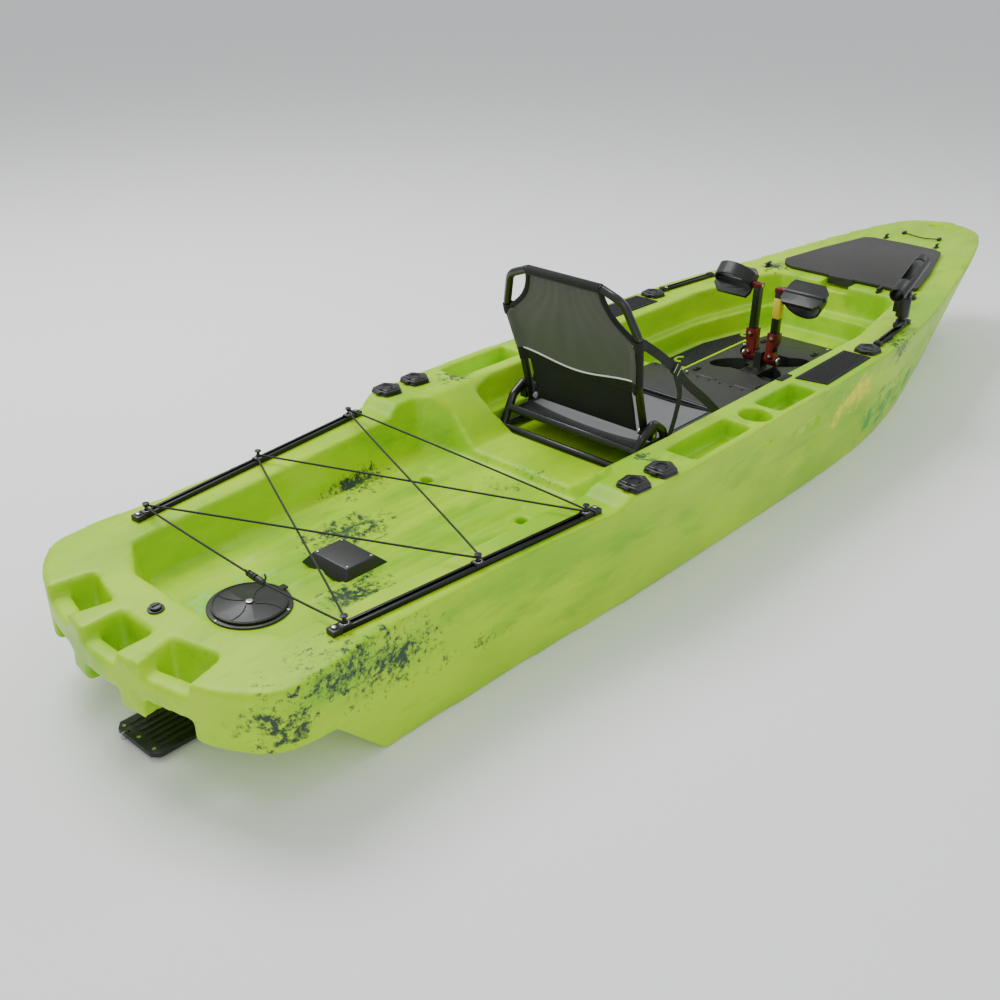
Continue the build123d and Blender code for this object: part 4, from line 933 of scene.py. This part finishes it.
def make_pads():
    side_pad = [(0.064, 0.350), (0.376, 0.344), (0.376, 0.432), (0.084, 0.442)]
    foot = [(0.300, 0.166), (0.782, 0.166), (0.782, 0.196), (0.540, 0.246), (0.300, 0.246)]
    bm = bmesh.new()
    for outline in (side_pad, mirrored(side_pad)):
        add_pad(bm, outline, 0.3471, 0.004, math.radians(0.2755), 0.013)
    for y in (0.324, -0.324):
        add_box(bm, (-0.031, -0.010, 0), (0.031, 0.010, 0.003), on_deck(0.048, y), 0.001)
    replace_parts(from_bmesh("deck_pads_moulded", bm, "hull", "pad_foam"), "deck_pads")
    bm = bmesh.new()
    for side, outline in ((1, foot), (-1, mirrored(foot))):
        holes = [(0.340, side * 0.206, 0.030), (0.716, side * 0.182, 0.024)]
        add_pad(bm, outline, 0.182, 0.004, 0.0, 0.015, holes)
    mats = from_bmesh("foot_mats_moulded", bm, "hull", "pad_foam")
    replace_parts(mats, "foot_mats")
    bm = bmesh.new()
    for side in (1, -1):
        for x, y, r, turn in ((0.340, 0.206, 0.024, 0.3), (0.716, 0.182, 0.018, 0.3)):
            arc = [(x + r * math.cos(turn + a), side * (y + r * math.sin(turn + a) * 0.8), 0.1868)
                   for a in [math.pi * k / 14 * 1.1 for k in range(15)]]
            add_tube(bm, arc, 0.0045, 8)
    from_bmesh("mat_half_rings", bm, "hull", "hull_plastic")


# ---------------------------------------------------------------- fittings
ROD_HOLDERS = {"aft": (-0.812, 0.417), "mid": (-0.704, 0.418), "front": (0.428, 0.398)}


def lens(scale):
    """The five-sided cap's outline, rounded."""
    corners = [(0.034, 0), (0.016, 0.030), (-0.030, 0.027), (-0.030, -0.027), (0.016, -0.030)]
    line = []
    for i, (x, y) in enumerate(corners):
        (px, py), (nx, ny) = corners[i - 1], corners[(i + 1) % 5]
        for t in (0.28, 0.14):
            line.append((x + (px - x) * t, y + (py - y) * t))
        line.append((x * 0.965, y * 0.965))
        for t in (0.14, 0.28):
            line.append((x + (nx - x) * t, y + (ny - y) * t))
    return [(x * scale, y * scale) for x, y in line]


def add_crown(bm, outline, base, height, inset, place):
    """A low raised island with sloping sides and a dished top."""
    part = bmesh.new()
    levels = ((1.0, 0.0), (1.0, height * 0.5), (1.0 - inset, height), (1.0 - 2.2 * inset, height),
              (1.0 - 3.0 * inset, height * 0.55))
    rings = [[part.verts.new((x * s, y * s, base + z)) for x, y in outline] for s, z in levels]
    count = len(outline)
    for a, b in zip(rings, rings[1:]):
        for k in range(count):
            part.faces.new([a[k], a[(k + 1) % count], b[(k + 1) % count], b[k]])
    part.faces.new(rings[-1])
    part.faces.new(rings[0][::-1])
    join(bm, part, place)


def make_rod_caps():
    screws = bmesh.new()
    for name, (x, y) in ROD_HOLDERS.items():
        for side, sign in (("port", 1), ("starboard", -1)):
            node = "rod_cap_%s_%s" % (name, side)
            refined(node, 0.0012)
            bm = bmesh.new()
            place = on_deck(x, sign * y, 0.013)
            add_crown(bm, lens(0.86), -0.0002, 0.0026, 0.07, place)
            for turn in (-0.9, 0.9):
                arc = [(0.014 * math.cos(turn + a) - 0.002, 0.014 * math.sin(turn + a), 0.0026)
                       for a in [(-0.9 + 0.2 * k) for k in range(10)]]
                add_tube(bm, [place @ Vector(p) for p in arc], 0.0011, 6)
            add_box(bm, (-0.030, -0.005, 0.0), (-0.020, 0.005, 0.0032), place, 0.0008)
            from_bmesh(node + "_crown", bm, node, "black_plastic")
            for sx, sy in ((0.022, 0.031), (0.022, -0.031)):
                seat = on_deck(x, sign * y, 0.005) @ Matrix.Translation((sx, sy, 0))
                add_turned(screws, dome(0.0028, 0.0018), seat, 14)
    refined("rod_flanges", 0.001)
    from_bmesh("flange_screws", screws, "hull", "steel")


def make_round_hatch():
    refined("round_hatch_ring", 0.0012)
    refined("round_hatch_lid", 0.0012)
    refined("small_screws", 0.0004)
    bm = bmesh.new()
    centre = Matrix.Translation((-1.615, 0, 0.211))
    for k in range(4):
        spin = Matrix.Rotation(math.radians(20 + 90 * k), 4, "Z")
        line = [centre @ spin @ Vector((0.014 + 0.062 * t, 0.010 * math.sin(t * 2.6), 0.0004))
                for t in [i / 12 for i in range(13)]]
        add_tube(bm, line, 0.0011, 6)
    rim = [centre @ Vector((0.0785 * math.cos(a), 0.0785 * math.sin(a), 0.0)) for a in
           [2 * math.pi * i / 64 for i in range(64)]]
    add_tube(bm, rim, 0.0016, 6, closed=True)
    from_bmesh("hatch_ridges", bm, "round_hatch", "black_plastic")
    bm = bmesh.new()
    add_turned(bm, [(0.0078, 0), (0.0078, 0.0012), (0.006, 0.0018), (0.0035, 0.0018), (0.003, 0.0008),
                    (0, 0.0008)],
               Matrix.Translation((-1.615, 0, 0.2138)), 24)
    from_bmesh("hatch_hub", bm, "round_hatch", "steel")


def make_deck_fittings():
    refined("gear_tracks", 0.0006)
    refined("track_end_caps", 0.0016)
    refined("bungee_posts", 0.0006, "black_plastic")
    refined("deck_cleats", 0.0012)
    refined("bow_handle_toggles", 0.0018)
    refined("drain_seat", 0.0008)
    refined("drain_plug", 0.0008)
    refined("scupper_plug_port", 0.001)
    refined("scupper_plug_starboard", 0.001)
    refined("sounder_box", 0.0022)
    refined("bow_hatch_gasket", 0.0006)
    refined("bow_hatch_lid", 0.0035)
    refined("centre_hatch_lid", 0.0016, "deck_sheet")
    refined("centre_hatch_hardware", 0.0006, "black_plastic")
    refined("drive_plate", 0.0012)
    refined("drive_liner", 0.0012)
    refined("lever_base", 0.0012)
    refined("rudder_lever", 0.002)
    bm = bmesh.new()
    for side in (-1, 1):
        for x, y in ((-1.635, 0.3321), (-0.973, 0.3994), (-1.296, 0.3666)):
            place = on_deck(x, side * y, 0.0142)
            ring = [place @ Vector((0.0085 * math.cos(a), 0.0085 * math.sin(a), 0.001))
                    for a in [2 * math.pi * i / 24 for i in range(24)]]
            add_tube(bm, ring, 0.0011, 6, closed=True)
        for x, y in ((-1.659, 0.3297), (-0.944, 0.4022), (0.490, 0.3880), (0.752, 0.3550)):
            add_turned(bm, dome(0.0052, 0.0032), on_deck(x, side * y, 0.0152), 18)
    from_bmesh("track_bolts", bm, "hull", "steel")
    bm = bmesh.new()
    for x, y in ((0.262, 0.132), (0.262, -0.132), (0.628, 0.134), (0.628, -0.134), (0.786, 0.104),
                 (0.786, -0.104)):
        add_turned(bm, dome(0.0048, 0.0024), Matrix.Translation((x, y, 0.187)), 16)
    from_bmesh("plate_screws", bm, "hull", "steel")
    bm = bmesh.new()
    for x, y in ((0.300, 0.118), (0.300, -0.118), (0.700, 0.098), (0.700, -0.098)):
        place = Matrix.Translation((x, y, 0.187))
        add_box(bm, (-0.017, -0.007, 0), (0.017, 0.007, 0.005), place, 0.0015)
        add_turned(bm, [(0, 0.004), (0.005, 0.004), (0.005, 0.008), (0.0035, 0.0092), (0, 0.0092)], place, 16)
    from_bmesh("plate_latches", bm, "hull", "black_plastic")


# ---------------------------------------------------------------- drive
def make_drive():
    for node in ("drive_spine", "drive_axle", "crank_port", "crank_starboard", "fin_drum_front",
                 "fin_drum_rear"):
        refined(node, 0.0016)
    for node in ("mast_port", "mast_starboard"):
        refined(node, 0.0016)
    for node in ("fin_front", "fin_rear"):
        refined(node, 0.0012)
    for node in ("pedal_port", "pedal_starboard"):
        refined(node, 0.0018)
    for side, body in ((1, "pedal_arm_port"), (-1, "pedal_arm_starboard")):
        bm = bmesh.new()
        y = side * 0.040
        add_box(bm, (0.491, y - 0.0145, 0.4385), (0.519, y + 0.0145, 0.4535), Matrix(), 0.002)
        add_turned(bm, [(0, 0), (0.013, 0), (0.013, 0.006), (0.009, 0.008), (0, 0.008)],
                   along((0, side, 0), (0.505, y + side * 0.0125, 0.446)), 20)
        for z in (0.222, 0.285):
            add_turned(bm, [(0, 0), (0.011, 0), (0.011, 0.003), (0.008, 0.005), (0, 0.005)],
                       along((-1, 0, 0), (0.4885, y, z)), 20)
        from_bmesh(body + "_bosses", bm, body, "red_casting")
        bm = bmesh.new()
        for z in (0.222, 0.285):
            add_turned(bm, dome(0.006, 0.004), along((-1, 0, 0), (0.4838, y, z)), 18)
        add_turned(bm, dome(0.007, 0.004), along((0, -side, 0), (0.505, y - side * 0.0118, 0.446)), 18)
        from_bmesh(body + "_bolts", bm, body, "steel")
    bm = bmesh.new()
    add_box(bm, (0.4922, -0.0525, 0.352), (0.5178, -0.0275, 0.420), Matrix(), 0.0008)
    from_bmesh("mast_band", bm, "pedal_arm_starboard", "yellow_band")


# ---------------------------------------------------------------- rod rest and rudder
def make_rest():
    refined("rest_base", 0.0016)
    refined("rest_arm", 0.002)
    refined("rest_tube", 0.0016)


def make_rudder():
    refined("rudder_housing", 0.001)
    refined("rudder_head", 0.001)
    refined("rudder_blade", 0.0012)
    refined("rudder_hardware", 0.0)
    bm = bmesh.new()
    for i, x in enumerate((-1.872, -1.812, -1.752)):
        for y in (-0.036, 0.036):
            add_turned(bm, dome(0.0055, 0.0036), Matrix.Translation((x, y + 0.002 * i, 0.0212)), 16)
    from_bmesh("blade_domes", bm, "rudder_blade", "black_plastic")


def make_seat_frame():
    refined("seat_base_frame", 0.0)
    refined("seat_back_frame", 0.0)
    refined("seat_pivot_bolts", 0.0006)


make_camera()
make_studio()
make_cords()
make_hull()
make_seat_frame()
make_back()
make_rear_panel()
make_sling()
make_straps()
make_pads()
make_rod_caps()
make_round_hatch()
make_deck_fittings()
make_drive()
make_rest()
make_rudder()
